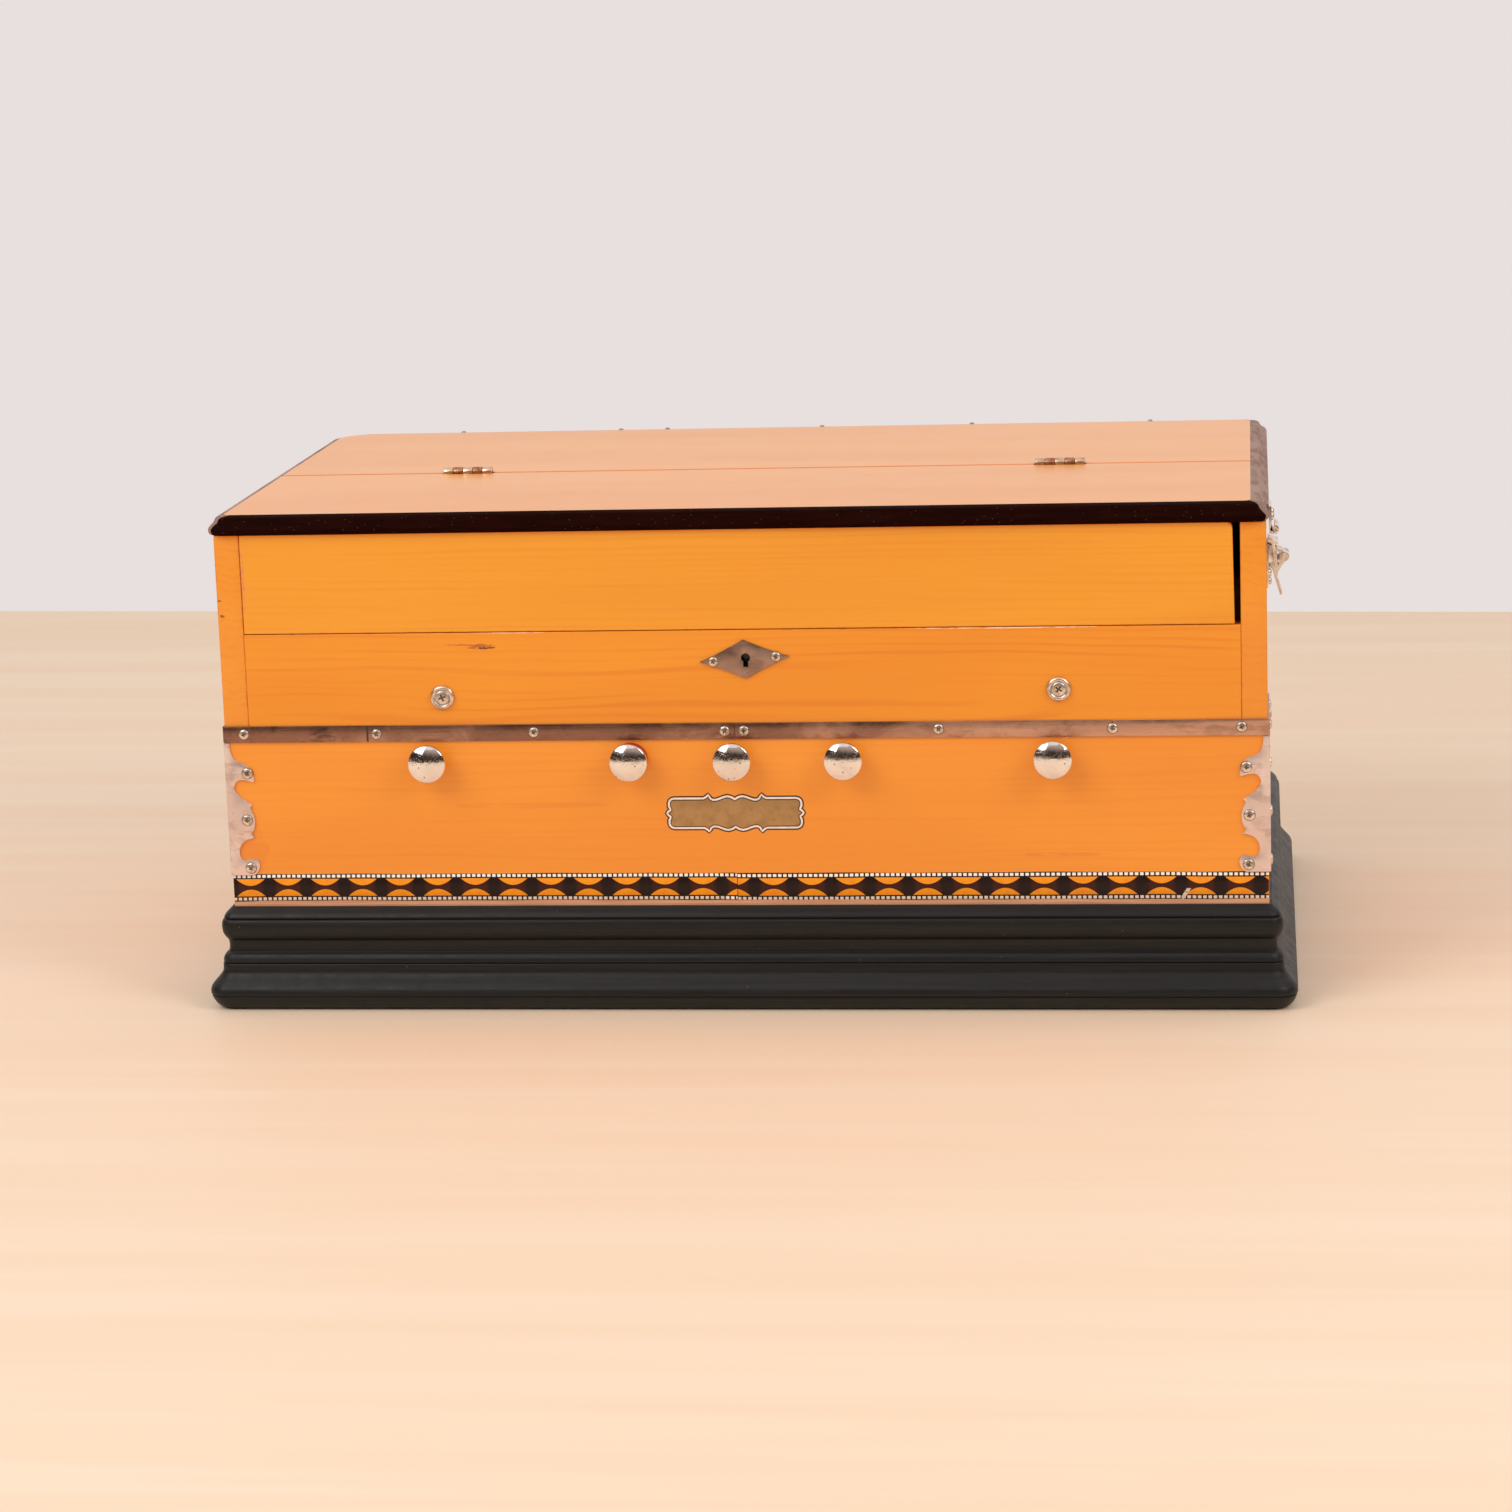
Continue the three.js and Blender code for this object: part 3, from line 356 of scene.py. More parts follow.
def cloth(name, colour, shade, pitch, rough=0.9):
    """Plain weave from two crossed sets of threads."""
    f = Finish(name, sheen_weight=0.3, sheen_roughness=0.5)
    x, y, z = f.axes()
    count = TURN / (pitch * MM)
    weave = ((x + y) * count).math("SINE") * ((z + y * 0.5) * count).math("SINE")
    fade = f.noise((50, 12, 50), 4, 0.6)
    tone = f.between(fade, 0.35, 0.7, colour, shade)
    tone = f.mix(f.range(weave, 0.0, 1.0, 0.0, 0.3), tone, [c * 1.35 for c in colour])
    rough = f.range(fade, 0.3, 0.7, rough - 0.08, rough + 0.06)
    return f.done(tone, rough, (weave, 0.35, 0.12), (f.noise(3, 4, 0.7), 0.2, 0.3))


def patterned_tape(name):
    """Dark tape with two rows of pale dots and pairs of orange half-lenses between dark diamonds."""
    f = Finish(name, specular_ior_level=0.25)
    pitch, blur = 22.0, 0.15
    x, _, z = f.axes()
    x = x * (1 / MM)
    # Beyond its seam the pattern starts again, a little lower
    right = x.math("GREATER_THAN", TAPE_SEAM)
    z = z * (1 / MM) + f.range(f.noise(70, 1), 0.3, 0.7, -0.2, 0.2) + right * 0.4
    along = x - f.range(right, 0.0, 1.0, -276.3, 6.3)

    def from_nearest(pitch):
        """How far the nearest of evenly spaced marks is along the tape."""
        turn = along / pitch
        return abs(turn - (turn + 0.5).math("FLOOR")) * pitch

    from_diamond = from_nearest(pitch)
    rise = abs(z - (TAPE_FOOT + TAPE_TOP) / 2)
    # Half-lenses: flat along the rows of dots, bulging towards the middle
    flat, reach = 5.1, 8.0
    belly = ((pitch / 2 - from_diamond) / reach).math("POWER", 2.0) * 3.6 + 1.15
    lens = f.range(rise - belly, -blur, blur) * f.range(flat - rise, -blur, blur)
    dot = f.range(from_nearest(pitch / 7.5), 1.15, 0.8) * f.range(abs(rise - 6.7), 0.98, 0.7)
    # Ground: near-black diamonds, red-brown between them
    ground = f.between(from_diamond, 2.4, 5.4, (34, 17, 13), (64, 24, 13))
    ground = f.mix(f.range(rise, flat - 0.1, flat + 0.2), ground, (30, 15, 11))
    rub = f.noise(4, 5, 0.7)
    colour = f.mix(lens, ground, f.between(rub, 0.35, 0.7, (246, 152, 22), (236, 138, 26)))
    colour = f.mix(dot, colour, (250, 232, 216))
    colour = f.mix(f.range(rub, 0.62, 0.82, 0.0, 0.3), colour, (110, 64, 40))
    # A cut at the seam, and a small torn place
    colour = f.mix(f.range(abs(x - TAPE_SEAM), 0.45, 0.15) * 0.7, colour, (24, 14, 10))
    near = f.range(abs(x - (z - 64.6) * 0.62 - 250.2), 1.5, 0.9)
    ragged = f.range(f.noise(1.3, 3, 0.7), 0.4, 0.48)
    colour = f.mix(near * f.range(abs(z - 65.2), 3.6, 3.0) * ragged, colour, (236, 206, 184))
    rough = f.range(rub, 0.3, 0.7, 0.3, 0.5)
    return f.done(colour, rough, (lens + dot, 0.12, 0.05), (f.noise((14, 14, 5), 3, 0.6), 0.3, 0.3))


def printed(name, colour, shade, rough=0.4, metallic=0.0, grit=5.0):
    f = Finish(name, metallic=metallic, coat_weight=0.2, coat_roughness=0.2)
    rub = f.noise(grit, 5, 0.7)
    colour = f.between(rub, 0.4, 0.7, colour, shade)
    return f.done(colour, f.range(rub, 0.3, 0.7, rough - 0.08, rough + 0.12), (rub, 0.1, 0.05))


WOOD_FRONT = varnished_wood("varnish_lower_front", "x", 1.3, (240, 143, 36), 5.6, 1.3, 0.2, foot=62.4, marks=[
    ((180, FRONT, 88), (60, 30, 2.4), (214, 104, 36), 0.3, 4),
    ((-285, FRONT, 95), (18, 30, 26), (228, 120, 44), 0.35, 5),
    ((-120, FRONT, 118), (90, 30, 3.0), (222, 116, 36), 0.25, 5)])
WOOD_KEYSLIP = varnished_wood("varnish_keyslip", "x", 4.1, (236, 141, 20), 5.4, 1.9, 0.55, marks=[
    ((-146, FRONT, 210.6), (16, 30, 2.8), (152, 72, 24), 0.85, 1.0),
    ((-152, FRONT, 211.8), (26, 30, 1.3), (198, 98, 36), 0.8, 0.9),
    ((-143, FRONT, 210.0), (9, 30, 1.6), (104, 42, 14), 0.9, 0.7),
    ((150, FRONT, 218.6), (100, 30, 0.9), (255, 214, 172), 0.9, 2.2),
    ((-130, FRONT, 218.6), (34, 30, 0.8), (250, 196, 150), 0.8, 2.0)])
WOOD_FASCIA = varnished_wood("varnish_fascia", "x", 7.7, (236, 149, 26), 4.2, 0.9, 0.24, marks=[
    ((-281.6, FRONT, 250), (1.8, 30, 36), (222, 132, 96), 0.9, 1.6)])
WOOD_SIDE = varnished_wood("varnish_side", "y", 2.9, (236, 142, 32), 5, 0.8, 0.26, marks=[
    ((-294.6, FRONT, 230), (2.6, 12, 1.6), (92, 40, 20), 1.0, 1.0),
    ((-296, FRONT, 239), (2.0, 12, 1.6), (120, 56, 26), 0.9, 1.0)])
WOOD_UPRIGHT = varnished_wood("varnish_board", "x", 9.2, (236, 143, 34), 5, 1.2, 0.3)
# The lid's ground is paler and less saturated than the boards', painted sheen for its glossy top seen at a
# grazing angle
WOOD_LID_PAINTED_SHEEN = varnished_wood("varnish_lid_painted_sheen", "x", 5.6, (246, 161, 77), 5, 0.6, 0.12,
                          gloss=(0.33, 0.36), ripple=0.01)
WOOD_ARRIS = varnished_wood("varnish_arris", "x", 3.3, (222, 122, 40), 5, 0.6, 0.1)
# Painted shade: the cheek blocks seen through the gap beside the fascia are dark red-brown, as the shade
# inside the case
CHEEK_PAINTED_SHADE = bare_wood("cheek_painted_shade", "y", (86, 30, 16), (58, 18, 10))
LACQUER = black_lacquer("black_lacquer", (53.2, 40.4, 33.2, 27.0, 9.0))
# The dark stain is the same on every edge. The sides' and rear's paler grey-brown, also used past the front's
# mitre, is the painted reflection of their gloss at a grazing angle
STAIN_FRONT = moulding_stain("lid_edge_front", (24, 3, 0), (38, 10, 5), 0.3, 0.02, (150, 120, 108))
SIDE_EDGE_PAINTED_SHEEN = moulding_stain("lid_edge_side_painted_sheen", (134, 104, 93), (176, 146, 134), 0.9, 0.1)
STRIP_STEEL = sheet_steel("strip_steel", (212, 164, 138), (148, 106, 88), (84, 60, 50), 0.75, (0.2, 0.42),
                          paler_right=True)
BRACKET_STEEL = sheet_steel("bracket_steel", (252, 232, 226), (238, 214, 206), (160, 130, 118), 0.35)
PLATE_STEEL = sheet_steel("plate_steel", (186, 152, 134), (158, 126, 110), (110, 84, 72), 0.4)
KNOB_PLATE = knob_plating("knob_plating")
LATCH_PLATE = metal("latch_plating", (250, 240, 232), (214, 194, 180), (0.28, 0.42), 5.0)
SCREW_STEEL = metal("screw_steel", (240, 228, 216), (196, 178, 162), (0.28, 0.45), 3.0)
# Painted shade: the screws' dark second look, for their cross recesses and the rings round their heads
SCREW_PAINTED_SHADE = metal("screw_painted_shade", (164, 138, 120), (124, 102, 88), (0.5, 0.7), 2.0)
WASHER_STEEL = metal("washer_steel", (242, 228, 216), (206, 188, 174), (0.24, 0.42), 4.0)
HINGE_METAL = metal("hinge_metal", (240, 206, 176), (206, 164, 132), (0.25, 0.42), 5.0)
HINGE_WORN = metal("hinge_worn", (206, 150, 112), (134, 84, 56), (0.3, 0.45), 3.0)
NAIL_METAL = metal("nail_metal", (186, 176, 168), (134, 122, 114), (0.3, 0.5), 2.0)
BRASS = metal("reed_brass", (214, 172, 92), (168, 122, 58), (0.22, 0.4), 8.0)
ROD_METAL = metal("rod_metal", (190, 186, 180), (140, 132, 124), (0.25, 0.42), 6.0)
PALE_WOOD = bare_wood("bare_wood", "x")
KEY_WOOD = bare_wood("key_wood", "y", (232, 200, 156), (204, 164, 116))
KEY_WHITE = key_cover("key_cover")
KEY_BLACK = key_cap("key_cap")
PALLET = cloth("pallet_leather", (206, 184, 150), (184, 158, 120), 1.6)
FOLD_CLOTH = cloth("bellows_cloth", (104, 22, 28), (74, 14, 20), 0.8)
FELT = cloth("red_felt", (206, 44, 24), (176, 30, 18), 0.9, 0.94)
TAPE = patterned_tape("patterned_tape")


# Mesh helpers

def placed(name, data):
    """A new object in the scene."""
    obj = bpy.data.objects.new(name, data)
    bpy.context.scene.collection.objects.link(obj)
    return obj


def mesh_of(name, bm):
    """The working mesh as a finished one. The working mesh is used up."""
    mesh = bpy.data.meshes.new(name)
    bm.to_mesh(mesh)
    bm.free()
    return mesh


def circle(count):
    """The cosine and sine of evenly spaced angles."""
    return [(math.cos(TURN * k / count), math.sin(TURN * k / count)) for k in range(count)]


def bow(start, control, end, shares):
    """Points at some shares of a quadratic curve."""
    return [tuple((1 - t) ** 2 * a + 2 * t * (1 - t) * b + t * t * c for a, b, c in zip(start, control, end))
            for t in shares]


def offset(points, by, closed=True):
    """A path's points moved sideways, to the right of the way it runs."""
    last = len(points) - 1
    result = []
    for i, (x, y) in enumerate(points):
        before = points[i - 1 if closed else max(i - 1, 0)]
        after = points[(i + 1) % (last + 1) if closed else min(i + 1, last)]
        dx, dy = after[0] - before[0], after[1] - before[1]
        length = math.hypot(dx, dy)
        result.append((x + dy / length * by, y - dx / length * by))
    return result


def curve_through(points, steps=3):
    """Catmull-Rom curve through points given as shares, held between 0 and 1."""
    last = len(points) - 1
    smooth = []
    for i in range(last):
        p = [points[min(max(i + k - 1, 0), last)] for k in range(4)]
        for step in range(steps):
            t = step / steps
            smooth.append([
                0.5 * (2 * b + (c - a) * t + (2 * a - 5 * b + 4 * c - d) * t * t
                       + (3 * b - a - 3 * c + d) * t ** 3) for a, b, c, d in zip(*p)])
    smooth.append(points[-1])
    return [[min(max(share, 0.0), 1.0) for share in point] for point in smooth]


def copied(node):
    """The CAD node's own shape as a clean mesh, in millimetres."""
    bm = bmesh.new()
    bm.from_mesh(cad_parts[node].data)
    bmesh.ops.scale(bm, vec=(1 / MM,) * 3, verts=bm.verts)
    bmesh.ops.remove_doubles(bm, verts=bm.verts, dist=0.005)
    bmesh.ops.dissolve_limit(bm, angle_limit=math.radians(1), verts=bm.verts, edges=bm.edges)
    return bm


def box(x, y, z):
    bm = bmesh.new()
    corners = [bm.verts.new((x[i], y[j], z[k])) for k in (0, 1) for j in (0, 1) for i in (0, 1)]
    for face in ((0, 2, 3, 1), (4, 5, 7, 6), (0, 1, 5, 4), (2, 6, 7, 3), (0, 4, 6, 2), (1, 3, 7, 5)):
        bm.faces.new([corners[i] for i in face])
    return bm


def skin(rings, caps=True):
    """Joins rings of equally many points."""
    bm = bmesh.new()
    levels = [[bm.verts.new(p) for p in ring] for ring in rings]
    count = len(rings[0])
    for low, high in zip(levels, levels[1:]):
        for i in range(count):
            j = (i + 1) % count
            bm.faces.new((low[i], low[j], high[j], high[i]))
    if caps:
        bm.faces.new(levels[0][::-1])
        bm.faces.new(levels[-1])
    return bm


def lathe(profile, origin, turns):
    """Turned about an axis along Y: each point is a radius and a distance towards the player."""
    x, y, z = origin
    return skin([[(x + max(radius, 0.01) * c, y - out, z + max(radius, 0.01) * s) for c, s in circle(turns)]
                 for radius, out in profile])


def rod(start, end, radius, turns=12):
    """Round bar between two points."""
    start, end = Vector(start), Vector(end)
    side = (end - start).orthogonal().normalized()
    up = (end - start).normalized().cross(side)
    return skin([[tuple(p + (side * c + up * s) * radius) for c, s in circle(turns)] for p in (start, end)])


def plan_ring(x, y, z, radius, steps=9, rear=None):
    """Rounded rectangle in plan. Its right and left corners at the rear may have radii of their own."""
    right, left = rear or (radius, radius)
    corners = ((x[1], y[1], right), (x[0], y[1], left), (x[0], y[0], radius), (x[1], y[0], radius))
    ring = []
    for quarter, (cx, cy, r) in enumerate(corners):
        mx = cx - r if cx > x[0] else cx + r
        my = cy - r if cy > y[0] else cy + r
        for step in range(steps + 1):
            angle = (quarter + step / steps) * math.pi / 2
            ring.append((mx + r * math.cos(angle), my + r * math.sin(angle), z))
    return ring


def plate(loops, thickness):
    """Flat plate with holes, drawn in (u, v), from w 0 to the thickness."""
    bm = bmesh.new()
    for loop in loops:
        verts = [bm.verts.new((u, v, 0)) for u, v in loop]
        for i, vert in enumerate(verts):
            bm.edges.new((vert, verts[(i + 1) % len(verts)]))
    bmesh.ops.triangle_fill(bm, use_beauty=True, use_dissolve=False, edges=bm.edges[:])
    raised = bmesh.ops.extrude_face_region(bm, geom=bm.faces[:])["geom"]
    top = [item for item in raised if isinstance(item, bmesh.types.BMVert)]
    bmesh.ops.translate(bm, vec=(0, 0, thickness), verts=top)
    bmesh.ops.recalc_face_normals(bm, faces=bm.faces)
    return bm


def moved(bm, rule):
    """Moves every vertex by a rule from (u, v, w) to the row frame."""
    for vert in bm.verts:
        vert.co = rule(*vert.co)
    return bm


def front_plane(x=0, z=0, lift=0):
    return lambda u, v, w: Vector((x + u, FRONT - lift - w, z + v))


def side_plane(side, depth, z, lift):
    return lambda u, v, w: Vector((side * (HALF + lift + w), FRONT + depth + side * u, z + v))


def top_plane(x, y, lift):
    return lambda u, v, w: Vector((x + u, y + v, LID_TOP + lift + w))


def turning_edges(bm, degrees):
    """The edges where two faces turn by more than an angle."""
    limit = math.radians(degrees)
    return [e for e in bm.edges if len(e.link_faces) == 2 and e.calc_face_angle(0) > limit]


def eased(bm, edges, offset, segments):
    """Bevels edges and gives the new faces."""
    return bmesh.ops.bevel(bm, geom=edges, offset=offset, segments=segments, profile=0.5, affect="EDGES",
                           clamp_overlap=True)["faces"]


def sliced(bm, place, normal, **options):
    """Cuts the mesh's faces along a plane."""
    bmesh.ops.bisect_plane(bm, geom=bm.verts[:] + bm.edges[:] + bm.faces[:], dist=0.0001, plane_co=place,
                           plane_no=normal, **options)


def merged(parts):
    """One mesh of several. The parts are used up."""
    whole = bmesh.new()
    for part in parts:
        held = mesh_of("held", part)
        whole.from_mesh(held)
        bpy.data.meshes.remove(held)
    return whole


def carved(bm, tools):
    """The mesh with the tools cut out of it."""
    made = []
    for source in (bm, merged(tools)):
        bmesh.ops.recalc_face_normals(source, faces=source.faces)
        made.append(placed("carving", mesh_of("carving", source)))
    modifier = made[0].modifiers.new("cut", "BOOLEAN")
    modifier.object = made[1]
    modifier.solver = "EXACT"
    graph = bpy.context.evaluated_depsgraph_get()
    result = bmesh.new()
    result.from_mesh(made[0].evaluated_get(graph).to_mesh())
    for obj in made:
        mesh = obj.data
        bpy.data.objects.remove(obj)
        bpy.data.meshes.remove(mesh)
    bmesh.ops.dissolve_limit(result, angle_limit=math.radians(0.5), verts=result.verts, edges=result.edges)
    return result


# In square millimetres
LARGE_FACE = 3000


def finish(name, bm, body, materials, slot, replaces=(), bevel=0.0, steps=2, sharp=32, pick=None):
    """Turns a mesh in millimetres into a piece that rides on a body."""
    bmesh.ops.recalc_face_normals(bm, faces=bm.faces)
    wear = bm.loops.layers.float.new("wear")
    if bevel:
        for face in eased(bm, turning_edges(bm, sharp), bevel, steps):
            for loop in face.loops:
                loop[wear] = 1.0
    if pick:
        for face in bm.faces:
            face.material_index = pick(face.calc_center_median(), face.normal)
    bmesh.ops.scale(bm, vec=(MM,) * 3, verts=bm.verts)
    mesh = mesh_of(name, bm)
    for material in materials if isinstance(materials, list) else [materials]:
        mesh.materials.append(material)
    mesh.shade_smooth()
    mesh.set_sharp_from_angle(angle=math.radians(sharp))
    # A large flat face keeps its own normal, so that a narrow bevel does not shade it
    for face in mesh.polygons:
        if face.area > LARGE_FACE * MM * MM:
            for loop in face.loop_indices:
                mesh.edges[mesh.loops[loop].edge_index].use_edge_sharp = True
    obj = placed(name, mesh)
    if body:
        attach(obj, body)
    if replaces:
        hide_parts(*replaces)
    return obj


def dressed(name, node, body, materials, slot, **options):
    """A piece made from the shape of the CAD node that it stands for."""
    finish(name, copied(node), body, materials, slot, [node], **options)


# Fasteners

def screw_head(radius, dome, spin, slots=True, cells=22):
    """Domed head on w 0, with a cross recess in the second material, which paints the shade in the recess."""
    bm = bmesh.new()
    c, s = math.cos(spin), math.sin(spin)
    grid = []
    for i in range(cells + 1):
        row = []
        for j in range(cells + 1):
            a, b = 2 * i / cells - 1, 2 * j / cells - 1
            u, v = a * math.sqrt(1 - b * b / 2), b * math.sqrt(1 - a * a / 2)
            height = dome * (0.3 + 0.7 * max(1 - (u * u + v * v), 0) ** 0.6)
            p, q = abs(u), abs(v)
            arm = max(min((0.15 - p) / 0.06, (0.52 - q) / 0.1), min((0.15 - q) / 0.06, (0.52 - p) / 0.1))
            arm = min(max(arm, 0), 1) if slots else 0
            place = (radius * (u * c - v * s), radius * (u * s + v * c), height - dome * 0.6 * arm)
            row.append((bm.verts.new(place), arm))
        grid.append(row)
    for i in range(cells):
        for j in range(cells):
            corners = (grid[i][j], grid[i + 1][j], grid[i + 1][j + 1], grid[i][j + 1])
            face = bm.faces.new([vert for vert, _ in corners])
            face.material_index = 1 if sum(arm for _, arm in corners) > 2 else 0
    rim = [e for e in bm.edges if e.is_boundary]
    for item in bmesh.ops.extrude_edge_only(bm, edges=rim)["geom"]:
        if isinstance(item, bmesh.types.BMVert):
            item.co.z = -0.6
    return bm


def rim_shade_ring(radius):
    """A thin dark ring round a head: painted shade under its rim."""
    bm = skin([[(r * c, r * s, w) for c, s in circle(28)]
               for r, w in ((radius + 0.3, -0.3), (radius + 0.3, 0.05), (radius + 0.15, 0.1))])
    for face in bm.faces:
        face.material_index = 1
    return bm


def screws(name, places, radius, dome, body="case", cells=22, ring=True):
    """Cross-headed screws as one piece. A place is a plane and a turn."""
    made = [moved(screw_head(radius, dome, turn, cells=cells), plane) for plane, turn in places]
    # Painted shade: a dark ring round each head
    if ring:
        made += [moved(rim_shade_ring(radius), plane) for plane, _ in places]
    finish(name, merged(made), body, [SCREW_STEEL, SCREW_PAINTED_SHADE], "chrome", sharp=50)


# Camera, lights and stage

# In pixels and in millimetres. The camera is fitted to the photograph by points of the front, top and plinth.
PHOTO_WIDTH = 1512
SENSOR_WIDTH = 36


def make_camera():
    """A long lens, turned a little to the left, tipped down and shifted up as in the photograph."""
    data = bpy.data.cameras.new("camera")
    camera = placed("camera", data)
    yaw, pitch, roll = (math.radians(a) for a in (-7.077, 11.478, -1.92))
    turns = ((-yaw, "Z"), (math.pi / 2 - pitch, "X"), (roll, "Z"))
    camera.matrix_world = Matrix.Translation(Vector((290.3, FRONT - 2251.4, 642.1)) * MM)
    for angle, axis in turns:
        camera.matrix_world = camera.matrix_world @ Matrix.Rotation(angle, 4, axis)
    data.sensor_width = SENSOR_WIDTH
    data.lens = 4100 / PHOTO_WIDTH * SENSOR_WIDTH
    data.shift_y = -61.2 / PHOTO_WIDTH
    bpy.context.scene.camera = camera


def soft_box(name, place, size, power):
    """A warm rectangular light that faces the middle of the case."""
    data = bpy.data.lights.new(name, "AREA")
    data.shape = "RECTANGLE"
    data.size, data.size_y = size
    data.energy = power
    data.color = (1, 0.98, 0.95)
    lamp = placed(name, data)
    lamp.location = place
    lamp.rotation_euler = (Vector((0, 0, 0.15)) - Vector(place)).to_track_quat("-Z", "Y").to_euler()


def backdrop(name, points, faces, material):
    """A piece of the stage, drawn in metres."""
    mesh = bpy.data.meshes.new(name)
    mesh.from_pydata(points, [], faces)
    mesh.materials.append(material)
    return placed(name, mesh)


def make_world():
    """An even grey light. The camera and reflections see a paler wall in its place."""
    world = bpy.data.worlds.new("studio")
    bpy.context.scene.world = world
    world.use_nodes = True
    tree = world.node_tree
    path = tree.nodes.new("ShaderNodeLightPath")
    straight, glossy = (Value(tree, path.outputs[f"Is {kind} Ray"]) for kind in ("Camera", "Glossy"))
    inputs = {0: straight.math("MAXIMUM", glossy), 6: (0.66, 0.65, 0.64, 1), 7: tint(232, 224, 222)}
    colour = make_node(tree, "ShaderNodeMix", inputs, 2, data_type="RGBA")
    join(tree, colour, tree.nodes["Background"].inputs["Color"])


def make_stage():
    soft_box("soft_box_left", (-1.8, -1.9, 2.2), (1.9, 1.5), 37)
    soft_box("soft_box_right", (1.8, -1.3, 1.65), (1.0, 1.1), 16)

    # A pale table, whose rear edge shows behind the instrument
    f = Finish("pale_table", roughness=0.6)
    figure = f.noise((900, 46, 46), 3, 0.5, 0.4)
    f.set("Base Color", f.between(figure, 0.3, 0.7, (251, 225, 199), (249, 219, 190)))
    corners = [(-6, -5, 0), (6, -5, 0), (6, 0.69, 0), (-6, 1.45, 0)]
    table = backdrop("table", corners, [(0, 1, 2, 3)], f.material)

    # The dim room round the camera, seen only in polished metal: a wall that pales upwards, and a strip of
    # floor at each side
    room = Finish("dim_room", roughness=0.9)
    x, _, z = room.axes()
    cloud = room.noise((500, 500, 240))
    shade = room.between(cloud, 0.35, 0.65, (34, 24, 20), (66, 50, 42))
    room.set("Base Color", room.between(z + x * 0.15 + cloud * 0.7, 1.5, 3.1, shade, (196, 180, 172)))
    steps, radius, height, floor = 24, 3.4, 3.0, 0.003
    turns = [math.radians(-200 + 220 * i / steps) for i in range(steps + 1)]
    ring = [(radius * math.cos(a), radius * math.sin(a)) for a in turns]
    points = [(min(max(x, -3.2), 3.2), min(y, -0.56), floor) for x, y in ring]
    points += [(x, y, z) for z in (floor, height) for x, y in ring]
    row = len(ring)
    faces = [(i, i + 1, i + 1 + row, i + row) for start in (0, row) for i in range(start, start + steps)]
    card = backdrop("room", points, faces, room.material)
    card.visible_camera = False
    card.visible_diffuse = False
    card.visible_shadow = False


make_camera()
make_world()
make_stage()


# Plinth

PLINTH_PROFILE = [
    (0.1, 1), (0.2, 0.975), (0.33, 0.945), (0.42, 0.905), (0.39, 0.893), (0.46, 0.88), (0.505, 0.84),
    (0.505, 0.785), (0.46, 0.735), (0.37, 0.695), (0.31, 0.673), (0.285, 0.62), (0.3, 0.575),
    (0.32, 0.557), (0.41, 0.54), (0.49, 0.505), (0.515, 0.465), (0.48, 0.455), (0.53, 0.44),
    (0.55, 0.37), (0.67, 0.32), (0.82, 0.275), (0.95, 0.23), (1, 0.185), (0.99, 0.158), (0.95, 0.15),
    (0.97, 0.138), (0.89, 0.084), (0.76, 0.035), (0.56, 0)]


def make_plinth():
    over = PLINTH_X[1] - HALF
    front = FRONT - PLINTH_Y[0]
    rear = PLINTH_Y[1] - REAR
    rings = [plan_ring((-HALF - out * over, HALF + out * over), (FRONT - out * front, REAR + out * rear),
                       height * FOOT, 3 + out * 9)
             for out, height in curve_through(PLINTH_PROFILE[::-1])]
    # The well under the reed chamber, with a thin floor
    well = box((-INNER + 13, INNER - 13), (FRONT + 22, REAR - 60), (8, FOOT + 2))
    finish("plinth_moulding", carved(skin(rings), [well]), "case", LACQUER, "black_lacquer",
           ["base_plinth"], sharp=50)


make_plinth()


# Case boards

def make_boards():
    dressed("stop_board", "stop_panel", "case", WOOD_FRONT, "varnished_wood", bevel=0.7)
    for side in ("left", "right"):
        dressed(f"side_board_{side}", f"side_panel_{side}", "case", WOOD_SIDE, "varnished_wood", bevel=0.8)
    dressed("back_board", "back_panel", "case", WOOD_UPRIGHT, "varnished_wood", bevel=0.6)
    # The fascia fits close at the left, and leans away from the right upright
    fascia = copied("lid_fascia")
    lean = 0.9
    for vert in fascia.verts:
        if vert.co.x < FASCIA_LEFT + 0.5:
            vert.co.x -= lean
        elif vert.co.x > FASCIA_RIGHT - 0.5:
            vert.co.x -= lean * (vert.co.z - FASCIA_FOOT) / (CASE_TOP - FASCIA_FOOT)
    corner = [e for e in fascia.edges
              if all(v.co.x > FASCIA_RIGHT - 1.5 and v.co.z > CASE_TOP - 0.5 for v in e.verts)]
    eased(fascia, corner, 3.4, 6)
    finish("fascia_board", fascia, "lid", WOOD_FASCIA, "varnished_wood", ["lid_fascia"], bevel=0.6)


def keyhole(centre, radius, slot, drop, steps=24):
    """A round eye with a slot below it, clockwise from the slot's left edge."""
    x, z = centre
    start = math.asin(slot / 2 / radius)
    loop = [(x - slot / 2, z - drop)]
    for i in range(steps + 1):
        angle = -math.pi / 2 - start - (TURN - 2 * start) * i / steps
        loop.append((x + radius * math.cos(angle), z + radius * math.sin(angle)))
    loop.append((x + slot / 2, z - drop))
    return loop


